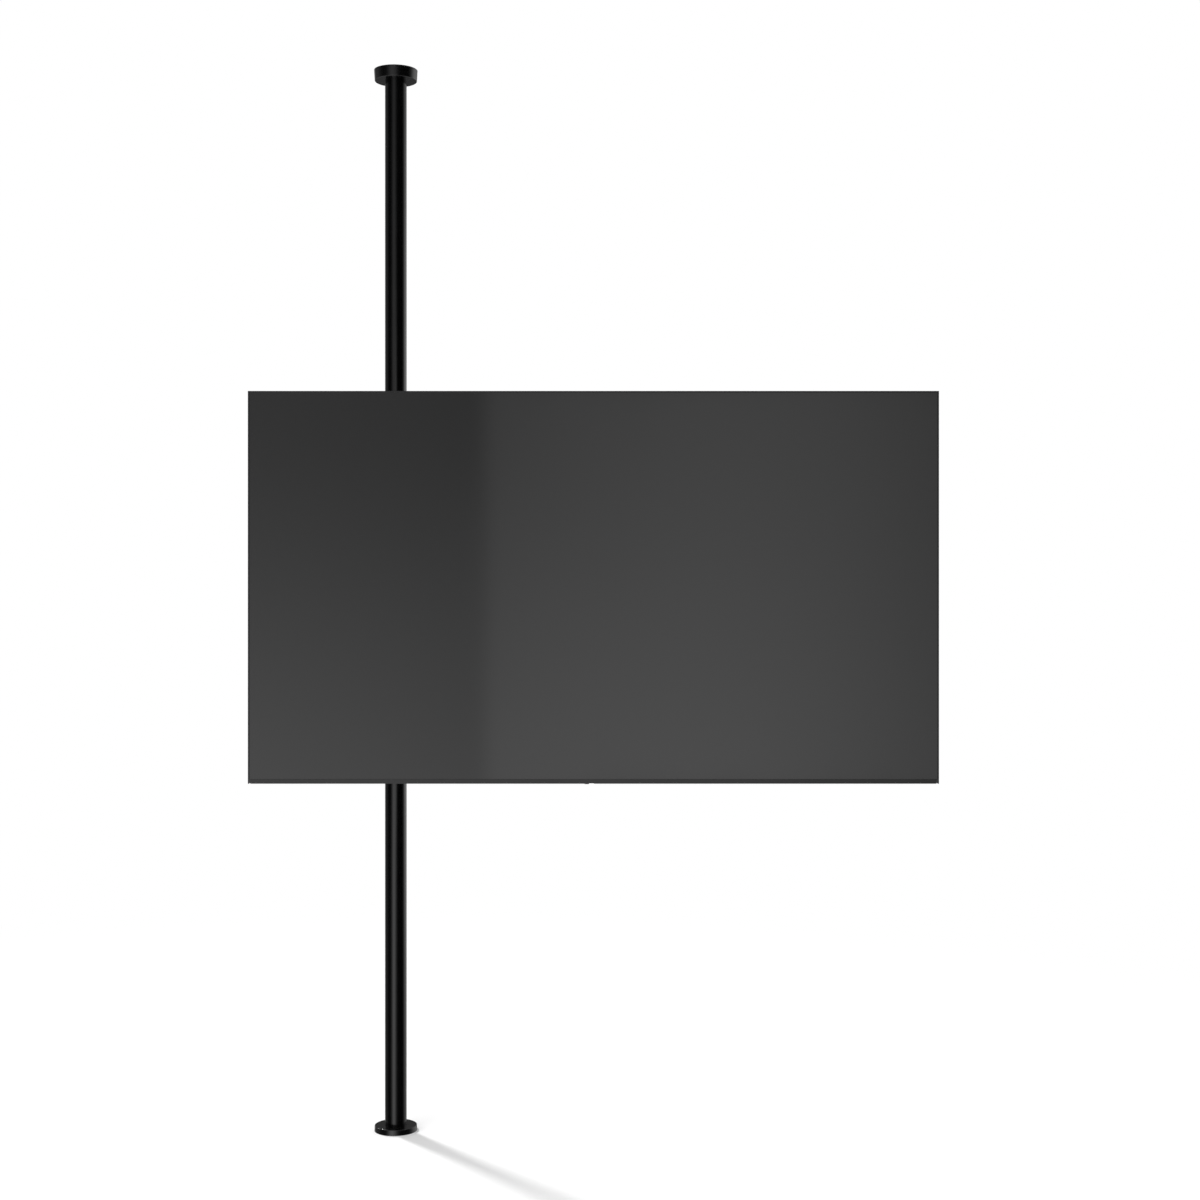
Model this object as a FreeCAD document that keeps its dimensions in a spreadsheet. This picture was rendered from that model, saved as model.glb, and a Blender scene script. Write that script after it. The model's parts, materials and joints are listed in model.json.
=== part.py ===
"""Floor-to-ceiling pole that carries a flat screen on a swing arm, as a parametric document in millimetres.

Origin on the floor at the pole's axis, +Z up. The screen faces -Y, and the arm reaches out along +X.
"""

import FreeCAD, Part
import os
import re

import Sketcher

# Driving dimensions: alias, value in millimetres, what it measures
SIZES = {
    "room_height": (2500, "floor to ceiling"),
    "tube_od": (50.8, "pole, outside diameter"),
    "tube_wall": (2, "pole, wall"),
    "tube_reach": (1.3, "pole, top end above the hub of the ceiling cup"),
    "slip_gap": (0.3, "radial clearance of loose covers, posts and the button"),
    "run_gap": (0.08, "radial clearance of shafts, bushes and collars"),
    "spigot_gap": (0.1, "radial clearance of the spigots inside the pole"),
    "play": (0.3, "axial play of turning and sliding pieces"),
    "plate_rim": (19.6, "end plates, reach past the pole"),
    "plate_thick": (6, "end plates, thickness"),
    "spigot_wall": (3, "spigots, wall"),
    "floor_spigot": (60, "floor plate, spigot length"),
    "ceiling_spigot": (130, "ceiling plate, spigot length"),
    "fixing_hole": (7, "end plates, screw hole diameter"),
    "fixing_sink": (13, "end plates, countersink diameter"),
    "grub_od": (6, "grub screws, diameter"),
    "grub_rise": (34, "first grub screw from the pole's end"),
    "grub_step": (18, "spacing of the two grub screws"),
    "grub_sunk": (0.3, "grub screws, how far they lie below the pole's face"),
    "cover_gap": (2, "radial room between an end plate and its cover"),
    "cover_wall": (2.5, "end covers, wall"),
    "cover_edge": (1.2, "end covers, rounding of the outer edge"),
    "rosette_room": (4.5, "floor rosette, room above the floor plate"),
    "rosette_flare": (0.5, "floor rosette, how much wider it is at the floor"),
    "cup_tall": (25.5, "ceiling cup, height"),
    "cup_flare": (1.5, "ceiling cup, how much wider it is at the ceiling"),
    "cup_hub_wall": (6, "ceiling cup, wall of the inner hub"),
    "ring_cord": (2.8, "grip ring, cord diameter"),
    "arm_height": (1240, "swing arm, height of its centre line above the floor"),
    "arm_reach": (467, "swing arm, pole axis to head pivot"),
    "collar_wall": (14, "clamp collars, wall"),
    "collar_tall": (18, "clamp collars, height"),
    "collar_slit": (3, "clamp collars, slit"),
    "collar_screw": (6, "clamp collars, screw diameter"),
    "bush_wall": (3, "pole bushes, wall"),
    "bush_flange": (3, "pole bushes, flange thickness"),
    "bush_long": (30, "pole bushes, length inside the hub"),
    "hub_wall": (6, "hub, wall"),
    "hub_reveal": (35, "hub, how far it stands past the beam"),
    "beam_tall": (80, "arm beam, height"),
    "beam_thick": (30, "arm beam, thickness"),
    "beam_wall": (2.5, "arm beam, wall"),
    "beam_corner": (4, "arm beam, corner radius"),
    "vent_hole": (8, "arm beam, vent hole diameter"),
    "vent_inset": (24, "arm beam, vent holes from the hub and the barrel"),
    "pin_od": (16, "head pivot bolt, diameter"),
    "pin_washer": (2.5, "head pivot washers, thickness"),
    "pivot_bush_wall": (4, "head pivot bushes, wall"),
    "pivot_bush_flange": (2, "head pivot bushes, flange thickness"),
    "pivot_bush_long": (24, "head pivot bushes, length inside the barrel"),
    "barrel_wall": (10, "head barrel, wall"),
    "barrel_reveal": (10, "head barrel, how far it stands past the beam"),
    "yoke_sheet": (6, "head yoke, plate thickness"),
    "yoke_depth": (76, "head yoke, pivot to the front of the web"),
    "yoke_wide": (80, "head yoke, width over the ears"),
    "ear_r": (14.7, "tilt ears, radius of the round end"),
    "ear_clear": (2.3, "tilt ears, round end to the facing plate"),
    "tilt_bolt": (8, "tilt bolts, diameter"),
    "washer_thick": (1, "tilt washers, thickness"),
    "tilt_plate_wide": (240, "tilt plate, width and height"),
    "tilt_plate_thick": (4, "tilt plate, thickness"),
    "plate_corner": (14, "tilt plate, corner radius"),
    "small_pattern": (100, "tilt plate, small hole pattern"),
    "small_hole": (5.2, "tilt plate, small hole diameter"),
    "rail_tall": (44, "cross rails, height"),
    "rail_deep": (16, "cross rails, depth"),
    "rail_overhang": (60, "cross rails, end past the screen bolts"),
    "rail_inset": (35, "cross rails, centre line from the tilt plate's edge"),
    "rail_bolt_inset": (40, "cross rail bolts, from the tilt plate's side edge"),
    "rail_slot": (30, "cross rails, slot length"),
    "rail_slot_pitch": (38, "cross rails, slot spacing"),
    "sheet": (2.5, "rails, sheet thickness"),
    "bolt_od": (8, "rail and screen bolts, diameter"),
    "hook_wide": (40, "hook rails, width"),
    "hook_stand": (19.7, "hook rails, cross rail to the screen's back"),
    "hook_grip": (12, "hook rails, how far the flanges reach beside the cross rails"),
    "hook_overhang": (40, "hook rails, end past the screen bolts"),
    "hook_lip": (9, "hook rails, how far the hook reaches down behind the cross rail"),
    "hook_nose": (14, "hook rails, height of the hook above the cross rail"),
    "hook_back": (8, "hook rails, thickness of the hook behind the cross rail"),
    "hook_play": (0.3, "hook rails, room around the cross rails"),
    "lock_bolt": (6, "hook lock bolts, diameter"),
    "vesa_wide": (400, "screen bolts, spacing across"),
    "vesa_tall": (400, "screen bolts, spacing in height"),
    "vesa_slot": (34, "hook rails, slot length"),
    "vesa_washer": (2, "screen bolt washers, thickness"),
    "vesa_post": (20, "screen posts, diameter"),
    "vesa_depth": (24, "screen posts, thread depth"),
    "screen_wide": (1552, "screen, width"),
    "screen_tall": (882, "screen, height"),
    "screen_rise": (39, "screen, centre above the arm"),
    "frame_deep": (26, "screen frame, depth"),
    "frame_lip": (3.2, "screen frame, width of the front lip"),
    "frame_wall": (1.5, "screen frame, wall"),
    "trim_tall": (10, "bottom trim, height of the front"),
    "trim_wall": (2, "bottom trim, wall"),
    "trim_gap": (2.2, "bottom trim, gap to the side bars"),
    "trim_lap": (1.5, "bottom trim, overlap in front of the panel"),
    "notch_wide": (11, "bottom trim, width of the thumb notch under the button"),
    "notch_tall": (0.8, "bottom trim, height of the thumb notch"),
    "panel_thick": (3, "display panel, thickness"),
    "panel_inset": (2, "display panel, edge behind the frame's outer face"),
    "diffuser_thick": (2, "diffuser, thickness"),
    "chassis_sheet": (1.2, "backlight chassis, sheet"),
    "chassis_gap": (0.4, "backlight chassis, room inside the frame"),
    "led_bar_wide": (14, "light bars, width"),
    "led_bar_thick": (2, "light bars, thickness"),
    "led_margin": (60, "light bars, end from the chassis wall"),
    "cover_reach": (70, "electronics cover, top edge above the upper screen bolts"),
    "cover_foot": (14, "electronics cover, bottom edge above the screen's bottom"),
    "cover_room": (15, "electronics cover, side room beside the boards"),
    "cover_draft": (26, "electronics cover, lean of its sides"),
    "cover_flange": (14, "electronics cover, flange width"),
    "cover_sheet": (2.5, "electronics cover, wall"),
    "cover_screw": (4, "cover screws, diameter"),
    "slat_gap": (4, "vents, slot height"),
    "slat_pitch": (10, "vents, slot spacing"),
    "slat_drop": (24, "vents, first slot below the top of the cover's back face"),
    "slat_inset": (30, "vents, slot end from the screen's centre line"),
    "slat_margin": (10, "vents, slot end from the screen posts"),
    "board_thick": (1.6, "circuit boards, thickness"),
    "board_lift": (6, "circuit boards, height above the chassis"),
    "board_wide": (150, "circuit boards, width"),
    "board_tall": (190, "circuit boards, height"),
    "board_gap": (5, "circuit boards, room beside the hook rails and above the screen posts"),
    "part_tall": (16, "tallest parts on the boards"),
    "part_room": (7.9, "room between the tallest parts and the cover"),
    "speaker_wide": (150, "speakers, width"),
    "speaker_tall": (46, "speakers, height"),
    "speaker_room": (7.5, "speakers, room to the cover's back"),
    "port_inset": (15, "sockets and inlet, inner end from the boards' inner edge"),
    "port_rise": (10, "sockets and inlet, lower edge above the boards' lower edge"),
    "port_lift": (8.4, "sockets and inlet, floor above the boards"),
    "port_margin": (10.5, "port panel, rim around the sockets"),
    "socket_wide": (22, "sockets, width"),
    "socket_tall": (13, "sockets, height"),
    "socket_wall": (2, "sockets, wall"),
    "socket_deep": (9, "sockets, depth of the hole"),
    "socket_gap": (14, "sockets, gap between them"),
    "inlet_wide": (36, "power inlet, width"),
    "inlet_tall": (24, "power inlet, height"),
    "inlet_well": (9.6, "power inlet, diameter of the two wells"),
    "inlet_pin": (2.4, "power inlet, pin diameter"),
    "inlet_pitch": (8, "power inlet, pin spacing"),
    "sensor_wide": (9.4, "sensor window, width"),
    "sensor_off": (14.8, "sensor window, to the left of the screen's centre"),
    "sensor_tall": (1.3, "sensor window, how far it hangs below the trim"),
    "sensor_deep": (8, "sensor window, depth"),
    "sensor_setback": (4, "sensor window, behind the front face"),
    "button_od": (7, "power button, diameter"),
    "button_off": (4.4, "power button, to the left of the screen's centre"),
    "button_edge": (0.5, "power button, rounding of the edge"),
    "button_rim": (2, "power button, rim that keeps it in the trim"),
    "button_travel": (1, "power button, travel"),
}

# Values worked out from the driving dimensions
DERIVED = {
    "tube_r": "tube_od / 2",
    "tube_in": "tube_r - tube_wall",
    "tube_low": "plate_thick",
    "tube_high": "cup_low + cup_hub_tall + tube_reach",
    "spigot_r": "tube_in - spigot_gap",
    "spigot_in": "spigot_r - spigot_wall",
    "plate_r": "tube_r + plate_rim",
    "fixing_r": "(tube_r + plate_r) / 2",
    "slip_r": "tube_r + slip_gap",
    "cover_r": "plate_r + cover_gap + cover_wall",
    "rosette_tall": "plate_thick + rosette_room + cover_wall",
    "cup_low": "room_height - cup_tall",
    "groove_low": "cover_wall + ring_cord / 2",
    "groove_high": "groove_low + ring_cord",
    "cup_hub_tall": "groove_high + cover_wall",
    "ring_r": "tube_r + run_gap + ring_cord / 2",
    "groove_r": "ring_r + ring_cord / 2",
    "run_r": "tube_r + run_gap",
    "collar_r": "run_r + collar_wall",
    "collar_seat": "half_hub + bush_flange + play",
    "hub_in": "run_r + bush_wall",
    "hub_r": "hub_in + hub_wall",
    "half_hub": "half_beam + hub_reveal",
    "half_beam": "beam_tall / 2",
    "beam_side": "beam_thick / 2",
    "pin_r": "pin_od / 2",
    "pivot_in": "pin_r + run_gap",
    "barrel_in": "pivot_in + pivot_bush_wall",
    "barrel_r": "barrel_in + barrel_wall",
    "half_barrel": "half_beam + barrel_reveal",
    "yoke_seat": "half_barrel + pivot_bush_flange + play",
    "yoke_top": "yoke_seat + yoke_sheet",
    "yoke_end": "yoke_top + pin_washer",
    "half_yoke": "yoke_wide / 2",
    "tilt_y": "-(yoke_depth + ear_r + ear_clear)",
    "tilt_back": "tilt_y - ear_r - ear_clear",
    "tilt_front": "tilt_back - tilt_plate_thick",
    "ear_in": "half_yoke + washer_thick",
    "ear_out": "ear_in + yoke_sheet",
    "half_plate": "tilt_plate_wide / 2",
    "rail_front": "tilt_front - rail_deep",
    "half_rail": "rail_tall / 2",
    "rail_z": "half_plate - rail_inset",
    "rail_bolt_x": "half_plate - rail_bolt_inset",
    "rail_end": "vesa_x + rail_overhang",
    "vesa_x": "vesa_wide / 2",
    "vesa_z": "vesa_tall / 2",
    "bolt_r": "bolt_od / 2",
    "hook_end": "vesa_z + hook_overhang",
    "hook_side": "hook_wide / 2",
    "hook_tail": "tilt_front + hook_play + hook_back",
    "hook_seat": "rail_front - hook_play",
    "hook_flange": "hook_seat + hook_grip",
    "screen_back": "hook_seat - hook_stand",
    "rail_hole_top": "rail_z + half_rail + hook_play",
    "rail_hole_low": "rail_z - half_rail - hook_play",
    "lock_y": "hook_flange - lock_bolt",
    "screen_z": "arm_height + screen_rise",
    "half_tall": "screen_tall / 2",
    "screen_low": "screen_z - half_tall",
    "screen_high": "screen_z + half_tall",
    "half_screen": "screen_wide / 2",
    "cover_deep": "board_lift + board_thick + part_tall + part_room + cover_sheet",
    "frame_back": "screen_back - cover_deep",
    "screen_face": "frame_back - frame_deep",
    "panel_face": "screen_face + frame_wall",
    "panel_back": "panel_face + panel_thick",
    "panel_low": "screen_low + trim_tall - trim_lap",
    "trim_half": "half_screen - frame_lip - trim_gap",
    "half_chassis": "half_screen - frame_wall - chassis_gap",
    "chassis_low": "screen_low + trim_tall + chassis_gap",
    "chassis_high": "screen_high - frame_wall - chassis_gap",
    "chassis_floor": "frame_back - chassis_sheet",
    "board_in": "vesa_x + hook_side + board_gap",
    "board_out": "board_in + board_wide",
    "board_low": "arm_height - vesa_z + vesa_post / 2 + board_gap",
    "board_top": "frame_back + board_lift + board_thick",
    "boss_inset": "2 * cover_screw",
    "half_back": "board_out + cover_room",
    "half_box": "half_back + cover_draft",
    "half_cover": "half_box + cover_flange",
    "cover_low": "screen_low + cover_foot",
    "cover_high": "arm_height + vesa_z + cover_reach",
    "box_low": "cover_low + cover_flange",
    "box_high": "cover_high - cover_flange",
    "back_low": "box_low + cover_draft",
    "back_high": "box_high - cover_draft",
    "back_inside": "screen_back - cover_sheet",
    "slat_end": "vesa_x - vesa_post / 2 - slat_margin",
    "port_in": "board_in + port_inset",
    "port_low": "board_low + port_rise",
    "port_floor": "board_top + port_lift",
    "port_wide": "3 * socket_wide + 2 * (socket_gap + port_margin)",
    "port_tall": "socket_tall + 2 * port_margin",
    "socket_face": "port_floor + 2 * cover_sheet + socket_deep",
    "speaker_deep": "cover_deep - cover_sheet - speaker_room",
    "button_r": "button_od / 2",
    "button_y": "(panel_back + frame_back) / 2",
    "button_neck": "trim_wall + play",
    "button_top": "button_neck + button_rim / 2",
}

# Usual proportions of fasteners, as shares of the shank's diameter
HEX_CORNER = 0.87
HEX_TALL = 0.65
CAP_R = 0.8
CAP_TALL = 0.6
SOCKET_CORNER = 0.36
SOCKET_DEEP = 0.36
TAIL_LONG = 0.9

UPRIGHT = FreeCAD.Rotation()
FLIPPED = FreeCAD.Rotation(FreeCAD.Vector(1, 0, 0), 180)
ALONG_X = FreeCAD.Rotation(FreeCAD.Vector(0, 1, 0), 90)
BACK_X = FreeCAD.Rotation(FreeCAD.Vector(0, 1, 0), -90)
ALONG_Y = FreeCAD.Rotation(FreeCAD.Vector(1, 0, 0), -90)
FRONT_Y = FreeCAD.Rotation(FreeCAD.Vector(1, 0, 0), 90)
SIDES = (-1, 1)

doc = FreeCAD.newDocument("PoleMount")
sheet = doc.addObject("Spreadsheet::Sheet", "Sizes")
for row, (alias, (value, words)) in enumerate(SIZES.items(), 1):
    sheet.set(f"A{row}", alias)
    sheet.set(f"B{row}", str(value))
    sheet.set(f"C{row}", words)
    sheet.setAlias(f"B{row}", alias)
doc.recompute()

SUBPARTS = []


def formula(text):
    """The text with its derived names written out and its aliases pointing at the sheet."""

    def word(match):
        name = match.group(0)
        if name in DERIVED:
            return f"({formula(DERIVED[name])})"
        return f"Sizes.{name}" if name in SIZES else name

    return re.sub(r"[a-z_][a-z_0-9]*", word, str(text))


def number(text):
    """What a formula comes to at the sheet's present values."""
    return float(sheet.evalExpression(formula(text)))


def bind(obj, **sizes):
    """Ties an object's properties to formulas."""
    for prop, text in sizes.items():
        obj.setExpression(prop, formula(text))
    return obj


def place(obj, at=("0", "0", "0"), turn=UPRIGHT):
    """Puts an object at a point given by formulas, turned by a fixed rotation."""
    obj.Placement = FreeCAD.Placement(FreeCAD.Vector(), turn)
    for axis, text in zip("xyz", at):
        obj.setExpression(f"Placement.Base.{axis}", formula(text))
    return obj


def box(across, deep, tall):
    """A block between two places on each axis."""
    obj = doc.addObject("Part::Box", "Block")
    spans = [f"({high}) - ({low})" for low, high in (across, deep, tall)]
    bind(obj, Length=spans[0], Width=spans[1], Height=spans[2])
    return place(obj, (across[0], deep[0], tall[0]))


def rod(radius, long, at, turn=UPRIGHT):
    """A cylinder from a point along the turned Z axis."""
    obj = doc.addObject("Part::Cylinder", "Rod")
    bind(obj, Radius=radius, Height=long)
    return place(obj, at, turn)


def cone(radius_1, radius_2, long, at, turn=UPRIGHT):
    """A cone from a point along the turned Z axis."""
    obj = doc.addObject("Part::Cone", "Cone")
    bind(obj, Radius1=radius_1, Radius2=radius_2, Height=long)
    return place(obj, at, turn)


def hexagon(corner_r, long, at, turn=UPRIGHT):
    """A hexagonal prism from a point along the turned Z axis."""
    obj = doc.addObject("Part::Prism", "Hexagon")
    obj.Polygon = 6
    bind(obj, Circumradius=corner_r, Height=long)
    return place(obj, at, turn)


def wedge(across, deep, tall, far_across, far_tall):
    """A block whose far face, at the end of its depth along Y, has another width and height."""
    obj = doc.addObject("Part::Wedge", "Wedge")
    bind(obj, Xmin=across[0], Xmax=across[1], Ymin=deep[0], Ymax=deep[1], Zmin=tall[0], Zmax=tall[1])
    return bind(obj, X2min=far_across[0], X2max=far_across[1], Z2min=far_tall[0], Z2max=far_tall[1])


def fuse(pieces):
    """The pieces as one solid."""
    if len(pieces) == 1:
        return pieces[0]
    obj = doc.addObject("Part::MultiFuse", "Joined")
    obj.Shapes = pieces
    obj.Refine = True
    return obj


def cut(base, tools):
    """The base with the tools taken out of it."""
    obj = doc.addObject("Part::Cut", "Cut")
    obj.Base = base
    obj.Tool = fuse(tools)
    return obj


def group(pieces):
    """Separate solids that share one node."""
    obj = doc.addObject("Part::Compound", "Group")
    obj.Links = pieces
    return obj


def sketch(body, role, loops):
    """A fully constrained sketch: polygons are lists of points, circles are (x, y, radius)."""
    drawing = body.newObject("Sketcher::SketchObject", body.Name + "Sketch")
    plane = next(f for f in body.Origin.OriginFeatures if f.Role == role)
    drawing.AttachmentSupport = [(plane, "")]
    drawing.MapMode = "FlatFace"

    def hold(kind, geometry, point, text):
        index = drawing.addConstraint(Sketcher.Constraint(kind, -1, 1, geometry, point, number(text)))
        drawing.setExpression(f"Constraints[{index}]", formula(text))

    for loop in loops:
        if isinstance(loop, tuple):
            x, y, radius = loop
            centre = FreeCAD.Vector(number(x), number(y), 0)
            ring = drawing.addGeometry(Part.Circle(centre, FreeCAD.Vector(0, 0, 1), number(radius)), False)
            hold("DistanceX", ring, 3, x)
            hold("DistanceY", ring, 3, y)
            size = drawing.addConstraint(Sketcher.Constraint("Radius", ring, number(radius)))
            drawing.setExpression(f"Constraints[{size}]", formula(radius))
            continue
        corners = [FreeCAD.Vector(number(x), number(y), 0) for x, y in loop]
        ends = corners[1:] + corners[:1]
        lines = [drawing.addGeometry(Part.LineSegment(a, b), False) for a, b in zip(corners, ends)]
        for one, other in zip(lines, lines[1:] + lines[:1]):
            drawing.addConstraint(Sketcher.Constraint("Coincident", one, 2, other, 1))
        for line, (x, y) in zip(lines, loop):
            hold("DistanceX", line, 1, x)
            hold("DistanceY", line, 1, y)
    return drawing


def pad(role, loops, long, at=("0", "0", "0")):
    """A sketch on an origin plane, extruded along the plane's normal: +Z, -Y or +X."""
    body = doc.addObject("PartDesign::Body", "Plate")
    drawing = sketch(body, role, loops)
    feature = body.newObject("PartDesign::Pad", "Extrusion")
    feature.Profile = drawing
    bind(feature, Length=long)
    return place(body, at)


def turned(profile, at=("0", "0", "0"), turn=UPRIGHT):
    """A turned piece: a profile of (radius, height) points, revolved about its own axis."""
    body = doc.addObject("PartDesign::Body", "Turned")
    drawing = sketch(body, "XZ_Plane", [profile])
    feature = body.newObject("PartDesign::Revolution", "Turn")
    feature.Profile = drawing
    feature.ReferenceAxis = (drawing, ["V_Axis"])
    feature.Angle = 360
    return place(body, at, turn)


def round_edges(body, radius, wanted):
    """Rounds the edges of a body that the test picks, within the body's own coordinates."""
    doc.recompute()
    base = body.Tip
    names = [f"Edge{i}" for i, edge in enumerate(base.Shape.Edges, 1) if wanted(edge)]
    feature = body.newObject("PartDesign::Fillet", "Rounding")
    feature.Base = (base, names)
    bind(feature, Radius=radius)
    body.Tip = feature
    return body


def ring_at(radius, height):
    """A test for the circular edge of that radius and height."""
    r, z = number(radius), number(height)

    def wanted(edge):
        curve = edge.Curve
        if not isinstance(curve, Part.Circle):
            return False
        return abs(curve.Radius - r) < 1e-6 and abs(curve.Center.z - z) < 1e-6

    return wanted


def along(*axis):
    """A test for straight edges along an axis."""

    def wanted(edge):
        ends = [v.Point for v in edge.Vertexes]
        return len(ends) == 2 and (ends[1] - ends[0]).cross(FreeCAD.Vector(*axis)).Length < 1e-6

    return wanted


def keep(label, obj):
    """Names a finished sub-part."""
    obj.Label = label
    SUBPARTS.append(obj)
    return obj


def head_x(text="0"):
    """A place across the screen, counted from the head's centre line."""
    return f"arm_reach + ({text})"


def arm_z(text="0"):
    """A height counted from the arm's centre line."""
    return f"arm_height + ({text})"


def around(middle, half):
    """Two places at the same distance to either side of a middle."""
    return f"{middle} - ({half})", f"{middle} + ({half})"


def across_head(half):
    """Two places at the same distance to either side of the head's centre line."""
    return around("arm_reach", half)


# Fasteners
def hex_head(size, at, turn):
    """The head of a hexagon bolt."""
    return hexagon(f"{size} * {HEX_CORNER}", f"{size} * {HEX_TALL}", at, turn)


def hex_nut(size, at, turn):
    """A hexagon nut, from the face that it bears on outwards."""
    return cut(hex_head(size, at, turn), [rod(f"{size} / 2", f"{size} * {HEX_TALL}", at, turn)])


def cap_screw(size, long, at, turn):
    """A round-headed socket screw: its head stands on the point, its shank runs the other way."""
    flip = turn.multiply(FLIPPED)
    head = rod(f"{size} * {CAP_R}", f"{size} * {CAP_TALL}", at, turn)
    shank = rod(f"{size} / 2", long, at, flip)
    top = turn.multVec(FreeCAD.Vector(0, 0, 1))
    rise = f"{size} * {CAP_TALL - SOCKET_DEEP}"
    floor = [f"{text} + {round(step)} * {rise}" for text, step in zip(at, top)]
    socket = hexagon(f"{size} * {SOCKET_CORNER}", f"{size} * {SOCKET_DEEP}", floor, turn)
    return cut(fuse([head, shank]), [socket])


def washer(bore, outside, thick, at, turn=UPRIGHT):
    """A flat washer."""
    return turned([(bore, "0"), (outside, "0"), (outside, thick), (bore, thick)], at, turn)


# Pole and its end plates
def end_plate(label, spigot, at, turn):
    """A disc with a hollow spigot for the pole and four countersunk holes."""
    top = f"plate_thick + {spigot}"
    disc = turned([
        ("spigot_in", "0"), ("plate_r", "0"), ("plate_r", "plate_thick"),
        ("spigot_r", "plate_thick"), ("spigot_r", top), ("spigot_in", top),
    ])
    holes = []
    sink = "(fixing_sink - fixing_hole) / 2"
    for x, y in (("fixing_r", "0"), ("0", "fixing_r"), ("-fixing_r", "0"), ("0", "-fixing_r")):
        holes.append(rod("fixing_hole / 2", "plate_thick", (x, y, "0")))
        holes.append(cone("fixing_hole / 2", "fixing_sink / 2", sink, (x, y, f"plate_thick - {sink}")))
    place(keep(label, cut(disc, holes)), at, turn)


def grub_screw(height):
    """A socket grub screw through the pole's back wall, down to the spigot."""
    tip, face = "spigot_r + run_gap", "tube_r - grub_sunk"
    deep = "tube_wall / 2"
    shank = rod("grub_od / 2", f"{face} - ({tip})", ("0", tip, height), ALONG_Y)
    socket = hexagon(f"grub_od * {SOCKET_CORNER - 0.06}", deep, ("0", f"{face} - {deep}", height), ALONG_Y)
    return cut(shank, [socket])


def pole():
    """The tube between its two end plates, and the grub screws that hold it on their spigots."""
    end_plate("floor_plate", "floor_spigot", ("0", "0", "0"), UPRIGHT)
    end_plate("ceiling_plate", "ceiling_spigot", ("0", "0", "room_height"), FLIPPED)
    low_grubs = [f"tube_low + grub_rise + {i} * grub_step" for i in range(2)]
    high_grubs = [f"tube_high - grub_rise - {i} * grub_step" for i in range(2)]
    rings = [("0", "0", "tube_r"), ("0", "0", "tube_in")]
    tube = pad("XY_Plane", rings, "tube_high - tube_low", ("0", "0", "tube_low"))
    holes = [rod("grub_od / 2", "plate_r", ("0", "0", z), ALONG_Y) for z in low_grubs + high_grubs]
    keep("pole_tube", cut(tube, holes))
    keep("floor_grub_screws", group([grub_screw(z) for z in low_grubs]))
    keep("ceiling_grub_screws", group([grub_screw(z) for z in high_grubs]))


# Covers that hide the end plates
def end_covers():
    """A low rosette on the floor, and a cup under the ceiling that a rubber ring holds on the pole."""
    rosette = turned([
        ("cover_r + rosette_flare - cover_wall", "0"), ("cover_r + rosette_flare", "0"),
        ("cover_r", "rosette_tall"), ("slip_r", "rosette_tall"),
        ("slip_r", "rosette_tall - cover_wall"), ("cover_r - cover_wall", "rosette_tall - cover_wall"),
    ])
    keep("floor_rosette", round_edges(rosette, "cover_edge", ring_at("cover_r", "rosette_tall")))
    hub = "slip_r + cup_hub_wall"
    cup = turned([
        ("slip_r", "0"), ("cover_r", "0"),
        ("cover_r + cup_flare", "cup_tall"), ("cover_r + cup_flare - cover_wall", "cup_tall"),
        ("cover_r - cover_wall", "cover_wall"), (hub, "cover_wall"),
        (hub, "cup_hub_tall"), ("slip_r", "cup_hub_tall"),
        ("slip_r", "groove_high"), ("groove_r", "groove_high"),
        ("groove_r", "groove_low"), ("slip_r", "groove_low"),
    ], ("0", "0", "cup_low"))
    keep("ceiling_cup", round_edges(cup, "cover_edge", ring_at("cover_r", "0")))
    ring = doc.addObject("Part::Torus", "Ring")
    bind(ring, Radius1="ring_r", Radius2="ring_cord / 2")
    keep("cup_grip_ring", place(ring, ("0", "0", "cup_low + groove_low + ring_cord / 2")))


# Clamp collars on the pole
def collar(label, low):
    """A split ring with a cross hole for its clamp screw; the slit faces away from the screen."""
    ring = pad("XY_Plane", [("0", "0", "collar_r"), ("0", "0", "run_r")], "collar_tall", ("0", "0", low))
    slit = box(around("0", "collar_slit / 2"), ("0", "collar_r"), (low, f"{low} + collar_tall"))
    y, z = collar_middle(low)
    hole = rod("collar_screw / 2", "2 * collar_r", ("-collar_r", y, z), ALONG_X)
    seat = rod(f"collar_screw * {CAP_R} + slip_gap", "collar_r", ("collar_wall", y, z), ALONG_X)
    keep(label, cut(ring, [slit, hole, seat]))


def collar_middle(low):
    """Y and Z of a collar's clamp screw."""
    return "(run_r + collar_r) / 2", f"{low} + collar_tall / 2"


def collars():
    """The two collars that carry the arm's hub between them, and their clamp screws."""
    lows = {"upper_collar": arm_z("collar_seat"), "lower_collar": arm_z("-collar_seat - collar_tall")}
    screws = []
    for label, low in lows.items():
        collar(label, low)
        at = ("collar_wall", *collar_middle(low))
        screws.append(cap_screw("collar_screw", "2 * collar_wall", at, ALONG_X))
    keep("collar_screws", group(screws))


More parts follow.
